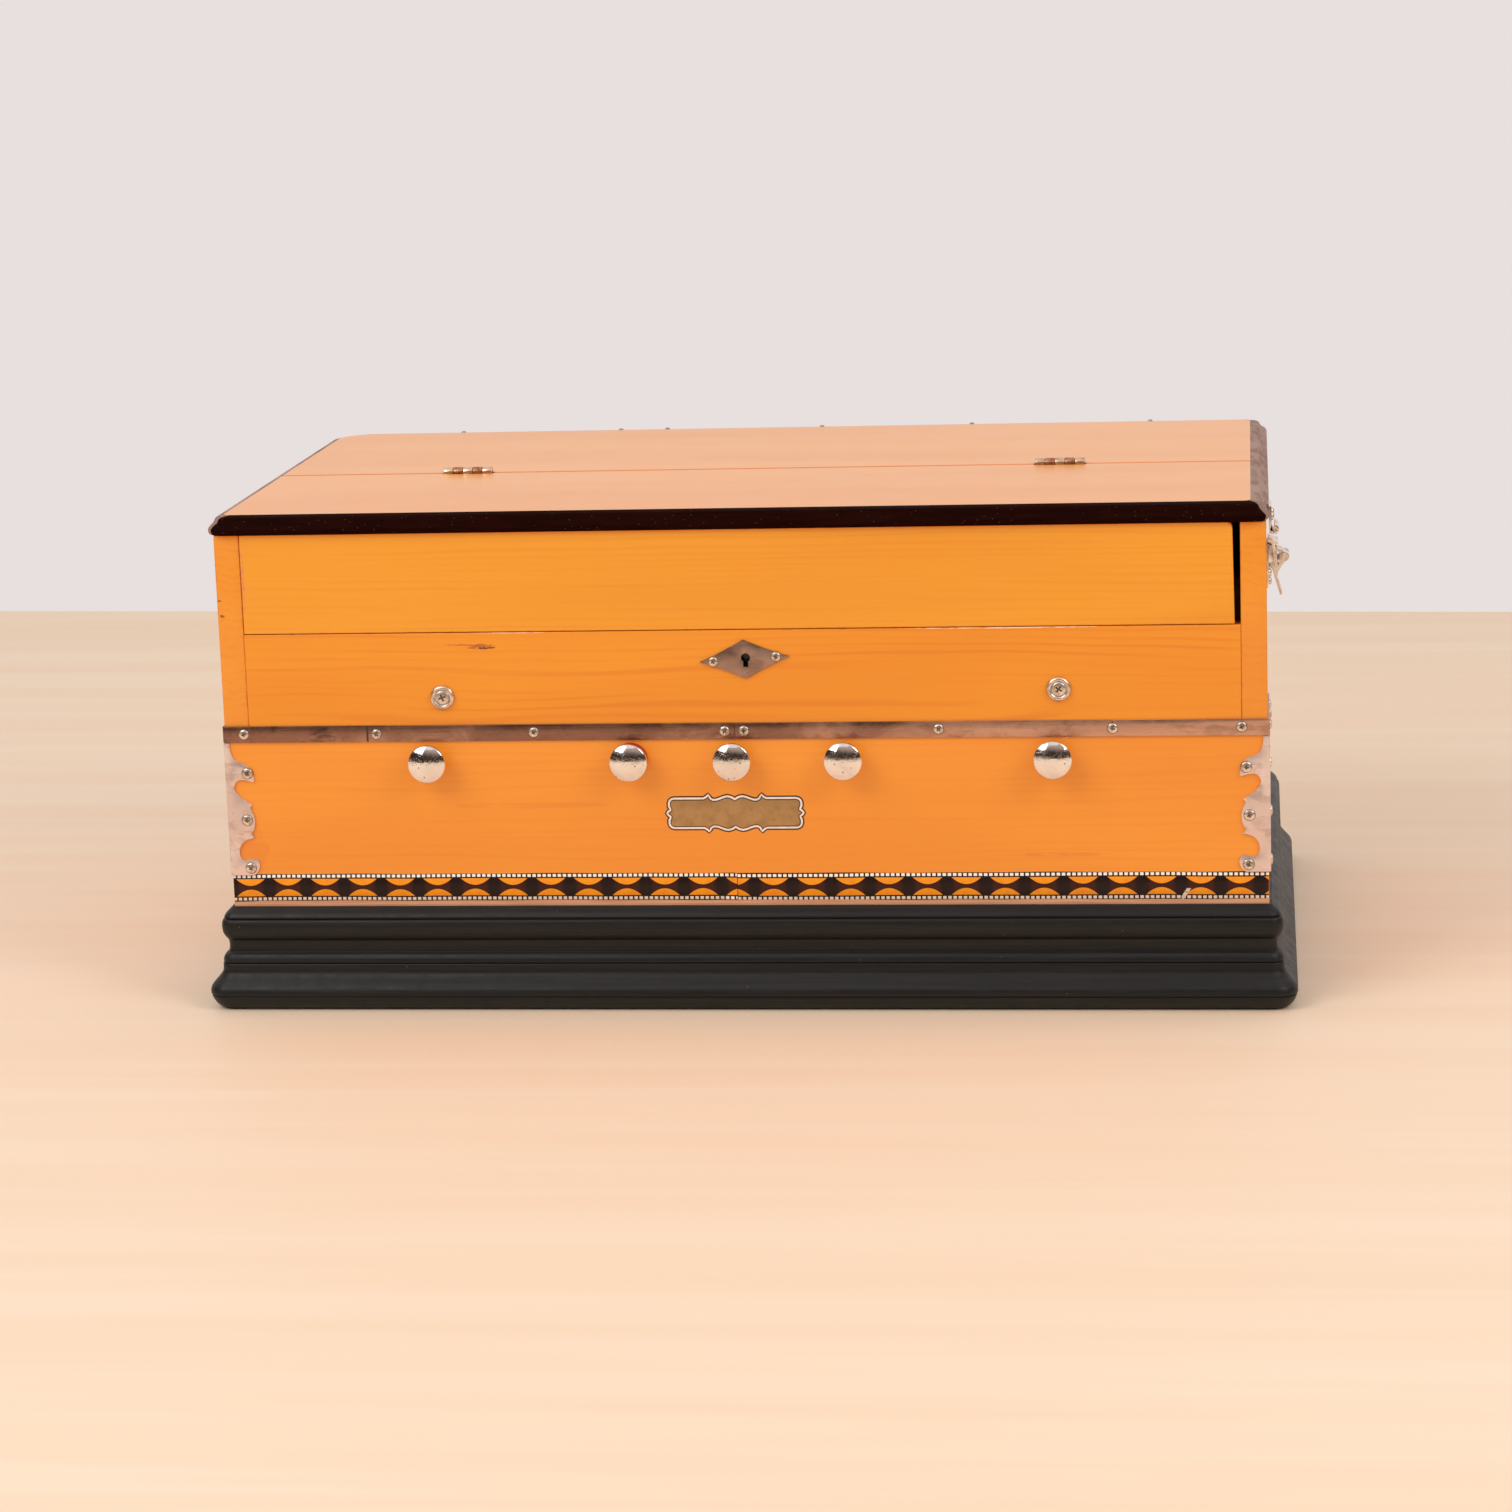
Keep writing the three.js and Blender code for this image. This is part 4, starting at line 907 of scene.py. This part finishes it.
def make_keyslip():
    middle = (5.0, KEYSLIP_TOP - 16.7)
    eye = (middle[0] + 0.6, middle[1] + 0.9)
    hole_depth = 8
    board = box((-INNER, INNER), (FRONT, FRONT_REAR), (SEAM, KEYSLIP_TOP))
    hole = moved(plate([keyhole(eye, 3.2, 3.4, 6.4)], hole_depth + 1), front_plane(lift=-hole_depth))

    # Painted shade: the hole's walls and floor take the black key cap finish, as the shade inside it
    def pick(place, normal):
        near = abs(place.x - eye[0]) < 4 and abs(place.z - eye[1]) < 7
        return 1 if near and FRONT + 0.6 < place.y < FRONT + hole_depth + 1 else 0

    finish("keyslip_board", carved(board, [hole]), "case", [WOOD_KEYSLIP, KEY_BLACK], "varnished_wood",
           ["keyslip"], bevel=0.5, pick=pick)
    # Lozenge plate with slightly drawn-in sides, pierced for the key and fixed a little askew
    wide, high, waist = 25.6, 11.2, 0.46
    corners = [(wide, 0), (0, high), (-wide, 0), (0, -high)]
    loop = []
    for a, b in zip(corners, corners[1:] + corners[:1]):
        loop += bow(a, ((a[0] + b[0]) * waist, (a[1] + b[1]) * waist), b, [i / 10 for i in range(10)])
    tilt = math.radians(3.2)
    c, s = math.cos(tilt), math.sin(tilt)
    loop = [(middle[0] + u * c - v * s, middle[1] + u * s + v * c) for u, v in loop]
    lozenge = moved(plate([loop, keyhole(eye, 2.45, 2.7, 5.3)[::-1]], SHEET_THICKNESS), front_plane())
    finish("lock_escutcheon", lozenge, "case", PLATE_STEEL, "sheet_steel", bevel=0.22, sharp=40)


make_boards()
make_keyslip()


# Bent steel

# The fold's inner radius, the flat's reach from the middle, and the length of sheet in the fold
CORNER = 0.7
FLAT = HALF - CORNER
FOLD = (CORNER + 0.6) * math.pi / 2


def bent(u, v, w):
    """Lays a flat sheet on the front and folds it round both corners of the case."""
    side = 1 if u >= 0 else -1
    past = abs(u) - FLAT
    if past <= 0:
        x, y = abs(u), FRONT - w
    elif past < FOLD:
        angle = past / FOLD * math.pi / 2
        x = FLAT + (CORNER + w) * math.sin(angle)
        y = FRONT + CORNER - (CORNER + w) * math.cos(angle)
    else:
        x, y = HALF + w, FRONT + CORNER + past - FOLD
    return Vector((side * x, y, v))


def sheet(name, loop, material, replaces, round_edge):
    """A sheet with eased edges, cut across where it folds, and folded."""
    bm = plate([loop], SHEET_THICKNESS)
    eased(bm, turning_edges(bm, 50), round_edge, 2)
    for side in (-1, 1):
        for i in range(7):
            sliced(bm, (side * (FLAT + FOLD * i / 6), 0, 0), (1, 0, 0))
    finish(name, moved(bm, bent), "case", material, "sheet_steel", replaces, sharp=50)


def slit(x, edge, inwards):
    """A narrow notch in an edge of the strip, from left to right."""
    return [(x - 0.3, edge), (x - 0.18, edge + inwards), (x + 0.18, edge + inwards), (x + 0.3, edge)]


def make_strip():
    """Three lengths of strip. The outer two run on round the corners."""
    low, high = STRIP_BOTTOM, STRIP_TOP
    low_slit, high_slit = -117.2, 211.2
    end = FLAT + FOLD + 70 - CORNER
    cuts = (-end, -213.7, -2.0, end)
    half_gaps = (0, 0.5, 0.12, 0)
    for i in range(3):
        a, b = cuts[i] + half_gaps[i], cuts[i + 1] - half_gaps[i + 1]
        under = slit(low_slit, low, 3.0) if a < low_slit < b else []
        over = slit(high_slit, high, -3.0) if a < high_slit < b else []
        loop = [(a, low)] + under + [(b, low), (b, high)] + over[::-1] + [(a, high)]
        sheet(f"steel_strip_{i + 1}", loop, STRIP_STEEL, () if i else ["steel_strip"], 0.2)
    # A dark filler behind the first gap paints the shade in it
    gap_shade = box((cuts[1] - 0.5, cuts[1] + 0.5), (FRONT - 1.0, FRONT - 0.05), (low + 0.1, high - 0.1))
    finish("steel_strip_gap_shade", gap_shade, "case", KEY_BLACK, "sheet_steel")


# A leaf's scalloped edge in shares of its width and height: curves, each with a control point and an end
BRACKET_START = (0.22, 0.955)
BRACKET_CURVES = [
    ((0.29, 0.87), (0.5, 0.858)), ((0.88, 0.845), (0.985, 0.738)), ((1.01, 0.7), (0.9, 0.708)),
    ((0.73, 0.728), (0.535, 0.724)), ((0.34, 0.72), (0.3, 0.667)), ((0.32, 0.605), (0.885, 0.536)),
    ((0.79, 0.525), (0.81, 0.506)), ((0.95, 0.46), (0.935, 0.404)), ((0.92, 0.345), (0.8, 0.319)),
    ((0.83, 0.295), (0.91, 0.284)), ((0.36, 0.272), (0.357, 0.17)), ((0.37, 0.11), (0.56, 0.112)),
    ((0.8, 0.13), (0.945, 0.122)), ((1.06, 0.09), (1, 0.055)), ((0.93, 0.01), (0.79, 0))]


def make_brackets():
    top = STRIP_BOTTOM - 0.4
    height, width = 77.9, 17.3
    edge = [(0.22, 1.0), BRACKET_START]
    for control, end in BRACKET_CURVES:
        edge += bow(edge[-1], control, end, [i / 8 for i in range(1, 9)])
    # A leaf's own zero is the outer corner, which the fold shortens a little
    corner, shortened = FLAT + FOLD / 2, 0.85
    half = [(max(0.0, out * width - shortened), top - height + up * height) for out, up in edge]
    for side, name in ((-1, "left"), (1, "right")):
        loop = [(side * (corner - u), v) for u, v in half] + [(side * (corner + u), v) for u, v in half[::-1]]
        sheet(f"bracket_{name}", loop, BRACKET_STEEL, [f"corner_bracket_{name}"], 0.22)


make_strip()
make_brackets()


# Lid

LID_PROFILE = [
    (0.8, 0), (0.91, 0.06), (0.98, 0.16), (1, 0.28), (0.97, 0.38), (0.88, 0.48), (0.76, 0.57),
    (0.65, 0.66), (0.59, 0.76), (0.52, 0.87), (0.38, 0.94), (0, 1)]
SEAM_GAP = 0.3
SEAM_ARRIS = 1.9


def hinge_slot(x):
    half, wide, corner = 15.6, 3.9, 1.9
    plan = plan_ring((x - half, x + half), (HINGE_Y - wide, HINGE_Y + wide), 0, corner, 4)
    return moved(plate([[(u, v) for u, v, _ in plan]], 6), lambda u, v, w: Vector((u, v, HINGE_Z - 3.8 + w)))


def lid_half(side):
    """The front half for side -1, the rear half for side 1."""
    rings = []
    for out, height in curve_through(LID_PROFILE):
        edge = out * (LIP + SETBACK) - SETBACK
        right_edge = out * (RIGHT_LIP + SETBACK) - SETBACK
        left_edge = out * (LIP + LEFT_SETBACK) - LEFT_SETBACK
        rings.append(plan_ring(
            (-HALF - left_edge, HALF + right_edge), (FRONT - edge, REAR + edge),
            CASE_TOP + height * LID_THICKNESS, 4 + out * 5, rear=(6 + out * 4, 24 - out * 2)))
    bm = skin(rings)
    seam = HINGE_Y + side * SEAM_GAP
    sliced(bm, (0, seam, 0), (0, -side, 0), clear_outer=True)
    bmesh.ops.holes_fill(bm, edges=[e for e in bm.edges if e.is_boundary], sides=0)
    # The arris at the seam is eased
    sliced(bm, (0, HINGE_Y + side * SEAM_ARRIS, 0), (0, 1, 0))
    for vert in bm.verts:
        if abs(vert.co.y - seam) < 0.01 and vert.co.z > LID_TOP - 0.01:
            vert.co.z -= 0.8
    return carved(bm, [hinge_slot(x) for x in HINGE_PLACES])


def lid_pick(centre, normal):
    """Varnish on the flat and the underside, darker at the seam, and stain on the moulded edge, its sides and
    rear painted paler as a reflection.
    """
    inside = (-HALF + LEFT_SETBACK - 0.2 < centre.x < HALF - SETBACK + 0.2
              and FRONT + SETBACK - 0.2 < centre.y < REAR - SETBACK + 0.2)
    if inside and abs(centre.y - HINGE_Y) < SEAM_ARRIS + 0.1 and 0.1 < normal.z < 0.99:
        return 3
    if inside or normal.z < -0.985 or abs(centre.y - HINGE_Y) < SEAM_GAP + 0.1:
        return 0
    return 1 if centre.y < FRONT + 13 else 2


def make_lid():
    looks = [WOOD_LID_PAINTED_SHEEN, STAIN_FRONT, SIDE_EDGE_PAINTED_SHEEN, WOOD_ARRIS]
    sides = ((-1, "lid", "front", HINGE_METAL), (1, "case", "rear", HINGE_WORN))
    for side, body, name, _ in sides:
        finish(f"lid_{name}_board", lid_half(side), body, looks, "varnished_wood", [f"lid_{name}"], sharp=40,
               pick=lid_pick)
    # Five knuckles a hinge, by turns the front half's and the rear half's
    pitch = 5.9
    half = (pitch - 0.22) / 2
    ends = [(-half, 2.75), (-half + 0.1, 2.95), (-half + 0.25, 3.0)]
    profile = ends + [(-along, radius) for along, radius in ends[::-1]]
    for side, body, name, look in sides:
        parts = []
        leaf_y = sorted((HINGE_Y + side * SEAM_GAP, HINGE_Y + side * 3.3))
        for place in HINGE_PLACES:
            for i in range(0 if side < 0 else 1, 5, 2):
                x = place + (i - 2) * pitch
                parts.append(skin([
                    [(x + along, HINGE_Y + radius * s, HINGE_Z + radius * c) for c, s in circle(32)]
                    for along, radius in profile]))
                # The leaf fills its own side of the slot
                parts.append(box((x - half, x + half), leaf_y, (HINGE_Z - 3.7, HINGE_Z - 0.9)))
            if side > 0:
                parts.append(rod((place - 14.9, HINGE_Y, HINGE_Z), (place + 14.9, HINGE_Y, HINGE_Z), 1.0))
        finish(f"lid_hinge_{name}_knuckles", merged(parts), body, look, "chrome", sharp=50)
    # Domed nails that hold the rear half down
    nails = [moved(screw_head(1.5, 0.95, 0.0, slots=False, cells=12), top_plane(x, REAR - inset, -0.25))
             for x, inset in ((-216, 5.6), (-113, 6.2), (-83, 5.4), (17, 6.0), (113, 5.7), (226, 5.2))]
    finish("lid_nails", merged(nails), "case", NAIL_METAL, "chrome", sharp=60)


make_lid()


# Stops

DOME_RADIUS = 19.5
KNOB_RADIUS, KNOB_REACH = 11, 15.8
# A shallow dome, then a tight rim and a waisted neck: radius and reach as shares
KNOB_PROFILE = [
    (r, 1 - (DOME_RADIUS - math.sqrt(DOME_RADIUS ** 2 - (r * KNOB_RADIUS) ** 2)) / KNOB_REACH)
    for r in (0, 0.2, 0.4, 0.56, 0.7, 0.82, 0.91, 0.955)]
KNOB_PROFILE += [
    (0.985, 0.775), (1, 0.735), (0.998, 0.68), (0.97, 0.6), (0.9, 0.53), (0.78, 0.46), (0.62, 0.4),
    (0.5, 0.35), (0.42, 0.28), (0.38, 0.22), (0.39, 0.16), (0.42, 0.1)]
KNOB_FOOT = [(4.7, 1.1), (5.0, 0.9), (5.2, 0.6), (5.2, 0.3), (3.0, 0.3)]


def make_stops():
    outline = [(r * KNOB_RADIUS, reach * KNOB_REACH) for r, reach in curve_through(KNOB_PROFILE)] + KNOB_FOOT
    rod = [(0, 2.0), (3.1, 2.0), (3.2, 0.0), (3.2, -59.0), (0, -59.0)]
    for i, x in enumerate(STOP_PLACES, 1):
        body = f"stop_{i}"
        origin = (x, FRONT, STOP_HEIGHT)
        finish(f"stop_knob_{i}", lathe(outline, origin, 64), body, KNOB_PLATE, "chrome", [body], sharp=40)
        finish(f"stop_rod_{i}", lathe(rod, origin, 32), body, ROD_METAL, "chrome", sharp=40)
        slide = box((x - 14, x + 14), (FRONT + 58, FRONT + 92), (STOP_HEIGHT - 4.7, STOP_HEIGHT + 4.7))
        finish(f"stop_slide_{i}", slide, body, PALE_WOOD, "bare_wood", bevel=0.8)
    # The felt washer that shows behind the second knob
    washer = lathe([(3.3, 0.25), (8.7, 0.1), (9.5, 0.35), (9.6, 0.9), (9.3, 1.4), (8.5, 1.6), (5.3, 1.6)],
                   (STOP_PLACES[1], FRONT, STOP_HEIGHT), 40)
    finish("felt_washer", washer, "case", FELT, "bellows_cloth", sharp=60)


make_stops()


# Label, tape and fittings

def make_label():
    """A bare cartouche: a wavy framed plate with pointed ears, in four thin steps."""
    centre = (-3.3, 113.0)
    quarter = [
        (38.9, 0), (38.2, 0.9), (36.9, 1.9), (37.1, 2.9), (37.7, 4.0), (37.7, 6.0), (37.2, 7.3), (36.2, 8.1),
        (35.0, 8.4), (26.0, 8.4), (17.9, 8.4), (16.4, 9.2), (15.1, 10.5), (14.7, 9.5), (14.2, 8.4),
        (12.6, 7.5), (10.6, 7.6), (8.2, 8.4), (6.2, 9.2), (4.2, 9.6), (2.2, 9.1), (0.9, 8.4), (0, 7.7)]
    half = quarter + [(-u, v) for u, v in quarter[-2::-1]]
    whole = [(centre[0] + u, centre[1] + v) for u, v in half + [(u, -v) for u, v in half[-2:0:-1]]]
    for name, by, thick, look in (
            ("edge", 1.6, 0.14, printed("label_dark_line", (72, 30, 14), (48, 20, 10))),
            ("line", 0.8, 0.24, printed("label_white_line", (250, 232, 218), (232, 208, 190))),
            ("inner", -0.35, 0.3, printed("label_inner_line", (74, 44, 24), (58, 34, 20))),
            ("ground", -0.95, 0.36,
             printed("label_bronze", (182, 138, 84), (164, 120, 70), 0.42, 0.25, 9.0))):
        step = moved(plate([offset(whole, by)], thick), front_plane())
        finish(f"label_{name}", step, "case", look, "sheet_steel", bevel=0.04, sharp=60)


def make_tape():
    """A long strip of tape stuck along the foot of the board, with slightly uneven edges."""
    columns = 200
    end = HALF - 0.2
    rings = []
    for i in range(columns + 1):
        x = -end + 2 * end * i / columns
        bow_down = 0.12 * math.sin(x * 0.045) + 0.1 * math.sin(x * 0.11 + 1)
        if x > TAPE_SEAM:
            bow_down -= 0.3
        if x < 13 - HALF:
            bow_down -= 0.35
        low, high = TAPE_FOOT + bow_down, TAPE_TOP + bow_down
        # Thicker beside the seam, where two ends overlap, and swollen over the brackets
        thick = 0.22 + (0.16 if -9 < x < -3.2 else 0.0)
        swell = 0.12 if abs(x) > HALF - 12 else 0.0
        rings.append([(x, FRONT - 0.02, low), (x, FRONT - thick, low + 0.15),
                      (x, FRONT - thick - swell, (TAPE_FOOT + TAPE_TOP) / 2), (x, FRONT - thick, high - 0.15),
                      (x, FRONT - 0.02, high)])
    finish("front_tape", skin(rings), "case", TAPE, "varnished_wood", sharp=60)


def make_fasteners():
    middle = (STRIP_BOTTOM + STRIP_TOP) / 2
    strip = [(front_plane(x, middle + dz, ON_SHEET), turn) for x, dz, turn in (
        (-286, 0.1, 0.2), (-208.5, -0.2, 1.1), (-117.2, 0.2, 0.5), (-7.7, 0, 0.9), (3.2, 0.1, 0.1),
        (113.7, 0.2, 0.7), (211.2, -0.1, 1.3), (283, 0.2, 0.4))]
    bracket = []
    for side in (-1, 1):
        for x, depth, z, turn in ((285.3, 12.4, 138, 0.4), (286.9, 10.8, 110.4, 1.0), (286.2, 11.6, 82, 0.2)):
            bracket.append((front_plane(side * x, z, ON_SHEET), turn + side))
            bracket.append((side_plane(side, depth, z, ON_SHEET), 0.6))
        strip += [(side_plane(side, depth, middle, ON_SHEET), 0.3 * depth) for depth in (8, 36, 62)]
    screws("strip_screws", strip, 2.85, 1.25)
    screws("bracket_screws", bracket, 3.1, 1.25)
    lock = [(front_plane(-12.8, 200.9, ON_SHEET), 0.5), (front_plane(22.8, 203.4, ON_SHEET), 1.2)]
    screws("escutcheon_screws", lock, 2.7, 1.2)
    # The left washer sits nearer the middle than the right one, and a little lower
    cup_places = ((-169.2, 181.6, 0.35), (181.5, 183.4, 0.95))
    cup = [(3.6, 0.2), (6.6, 0.0), (7.0, 0.5), (6.9, 1.2), (6.4, 1.9), (5.7, 2.3), (5.0, 2.2), (4.4, 1.7),
           (4.1, 1.0)]
    cups = merged([lathe(cup, (x, FRONT, z), 48) for x, z, _ in cup_places])
    finish("cup_washers", cups, "case", WASHER_STEEL, "chrome", sharp=50)
    in_cups = [(front_plane(x, z, 1.0), turn) for x, z, turn in cup_places]
    screws("cup_screws", in_cups, 4.2, 1.5, cells=30, ring=False)


make_label()
make_tape()
make_fasteners()


# Latch

def make_latch():
    depth = 20
    middle = FRONT + depth
    pivot_x, pivot_z = HALF + 10, CASE_TOP - 22
    # An eye through both ears and the lever
    eye = [(pivot_x - 4.4 + 1.6 * c, pivot_z + 1.0 + 1.9 * s) for c, s in circle(20)]

    for node, body, bevel, sharp in (
            ("latch_base", "case", 0.25, 32), ("latch_lever", "latch_lever", 0.3, 20)):
        tool = moved(plate([eye], 20), lambda u, v, w: Vector((u, middle - 10 + w, v)))
        finish(f"{node}_plate", carved(copied(node), [tool]), body, LATCH_PLATE, "chrome", [node],
               bevel=bevel, sharp=sharp)
    barrel = rod((pivot_x - 0.3, middle - 8.5, pivot_z), (pivot_x - 0.3, middle + 8.5, pivot_z), 2.4, 24)
    finish("latch_lever_barrel", barrel, "latch_lever", LATCH_PLATE, "chrome", sharp=50)
    dressed("latch_bail_wire", "latch_bail", "latch_bail", LATCH_PLATE, "chrome", bevel=0.4, sharp=20)
    # Keeper on the lid's edge: a plate with its foot rolled outwards
    outer = HALF + RIGHT_LIP + 1.2
    curl_z, curl_radius = 270.4, 2.0
    path = [(outer - 0.7, CASE_TOP + 7), (outer - 0.7, CASE_TOP - 3), (outer - 0.6, curl_z - 2)]
    for i in range(12):
        angle = math.radians(180 + 24 * i)
        path.append((outer + 1.5 + curl_radius * math.cos(angle), curl_z + curl_radius * math.sin(angle)))
    loop = offset(path, 0.75, closed=False) + offset(path, -0.75, closed=False)[::-1]
    rings = [[(x, y, z) for x, z in loop] for y in (middle - 11, middle + 11)]
    finish("latch_keeper", skin(rings), "lid", LATCH_PLATE, "chrome", bevel=0.2, sharp=40)
    # Round heads: two in the keeper, four in the base plate
    keeper = [(side_plane(1, depth + dy, z, RIGHT_LIP + 1.0), 0.4) for dy, z in ((-6.5, 277.4), (6.5, 277.9))]
    screws("latch_keeper_screws", keeper, 2.3, 1.9, "lid", cells=16)
    base = [(side_plane(1, depth + dy, z, ON_SHEET), 0.9) for dy in (-10.2, 10.2) for z in (246.4, 241.6)]
    screws("latch_base_screws", base, 2.1, 1.8, cells=16)


make_latch()


# Keys and reed chamber

COVER_END = FRONT + 151
LEVER_FOOT, PALLET_FRONT = 219.9, FRONT + 160
REED_LOW, REED_HIGH = 184.9, 188.05
REED_MIDDLE, REED_REACH = FRONT + 245, 23.2
CHEEK_FOOT, CHEEK_INNER = 212, 248


def make_keys():
    """Each key in three looks: its white or black cover, its wooden lever and the pallet under its tail."""
    for name in sorted(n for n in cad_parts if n.startswith("key_")):
        cover, slot, cover_foot = KEY_WHITE, "natural_key", 234.0
        if name.endswith("_sharp"):
            cover, slot, cover_foot = KEY_BLACK, "sharp_key", 231.02
        bm = copied(name)
        sliced(bm, (0, 0, cover_foot), (0, 0, 1))

        def pick(centre, normal, cover_foot=cover_foot):
            if centre.z > cover_foot - 0.02 and centre.y < COVER_END:
                return 0
            return 2 if centre.z < LEVER_FOOT and centre.y > PALLET_FRONT else 1

        finish(f"{name}_lever", bm, name, [cover, KEY_WOOD, PALLET], slot, [name], bevel=0.45, steps=3,
               sharp=30, pick=pick)


def make_chamber():
    def pick(centre, normal):
        if REED_LOW < centre.z < REED_HIGH and abs(centre.y - REED_MIDDLE) < REED_REACH and normal.z < 0.5:
            return 1
        # The cheek blocks take the painted shade
        return 2 if centre.z > CHEEK_FOOT and abs(centre.x) > CHEEK_INNER else 0

    dressed("reed_chamber_box", "reed_chamber", "case", [PALE_WOOD, BRASS, CHEEK_PAINTED_SHADE], "bare_wood",
            bevel=0.3, pick=pick)


make_keys()
make_chamber()


# Bellows

PLEATS = 5


def make_bellows():
    def pick(centre, normal):
        return 1 if centre.y > REAR + 0.05 or centre.z < FOOT + 3 else 0

    dressed("bellows_back_board", "bellows_board", "bellows", [WOOD_UPRIGHT, NAIL_METAL], "varnished_wood",
            bevel=0.5, pick=pick)
    start, end = span("bellows_folds")[1]
    low, high = FOOT + 3, CASE_TOP - 4.5
    half = INNER - 3
    inset, depth = 5, 12.8
    steps = 16 * PLEATS
    rings = []
    for i in range(steps + 1):
        share = i / steps
        wave = 0.5 - 0.5 * math.cos(TURN * PLEATS * share)
        inwards = inset + depth * wave ** 0.8
        ring = plan_ring((-half + inwards, half - inwards), (low + inwards, high - inwards), 0, 5, 6)
        rings.append([(x, start + (end - start) * share, z) for x, z, _ in ring])
    folds = finish("bellows_cloth_folds", skin(rings, caps=False), None, FOLD_CLOTH, "bellows_cloth",
                   ["bellows_folds"], sharp=70)
    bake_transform(folds)


make_bellows()

bpy.context.scene.view_settings.view_transform = "Standard"
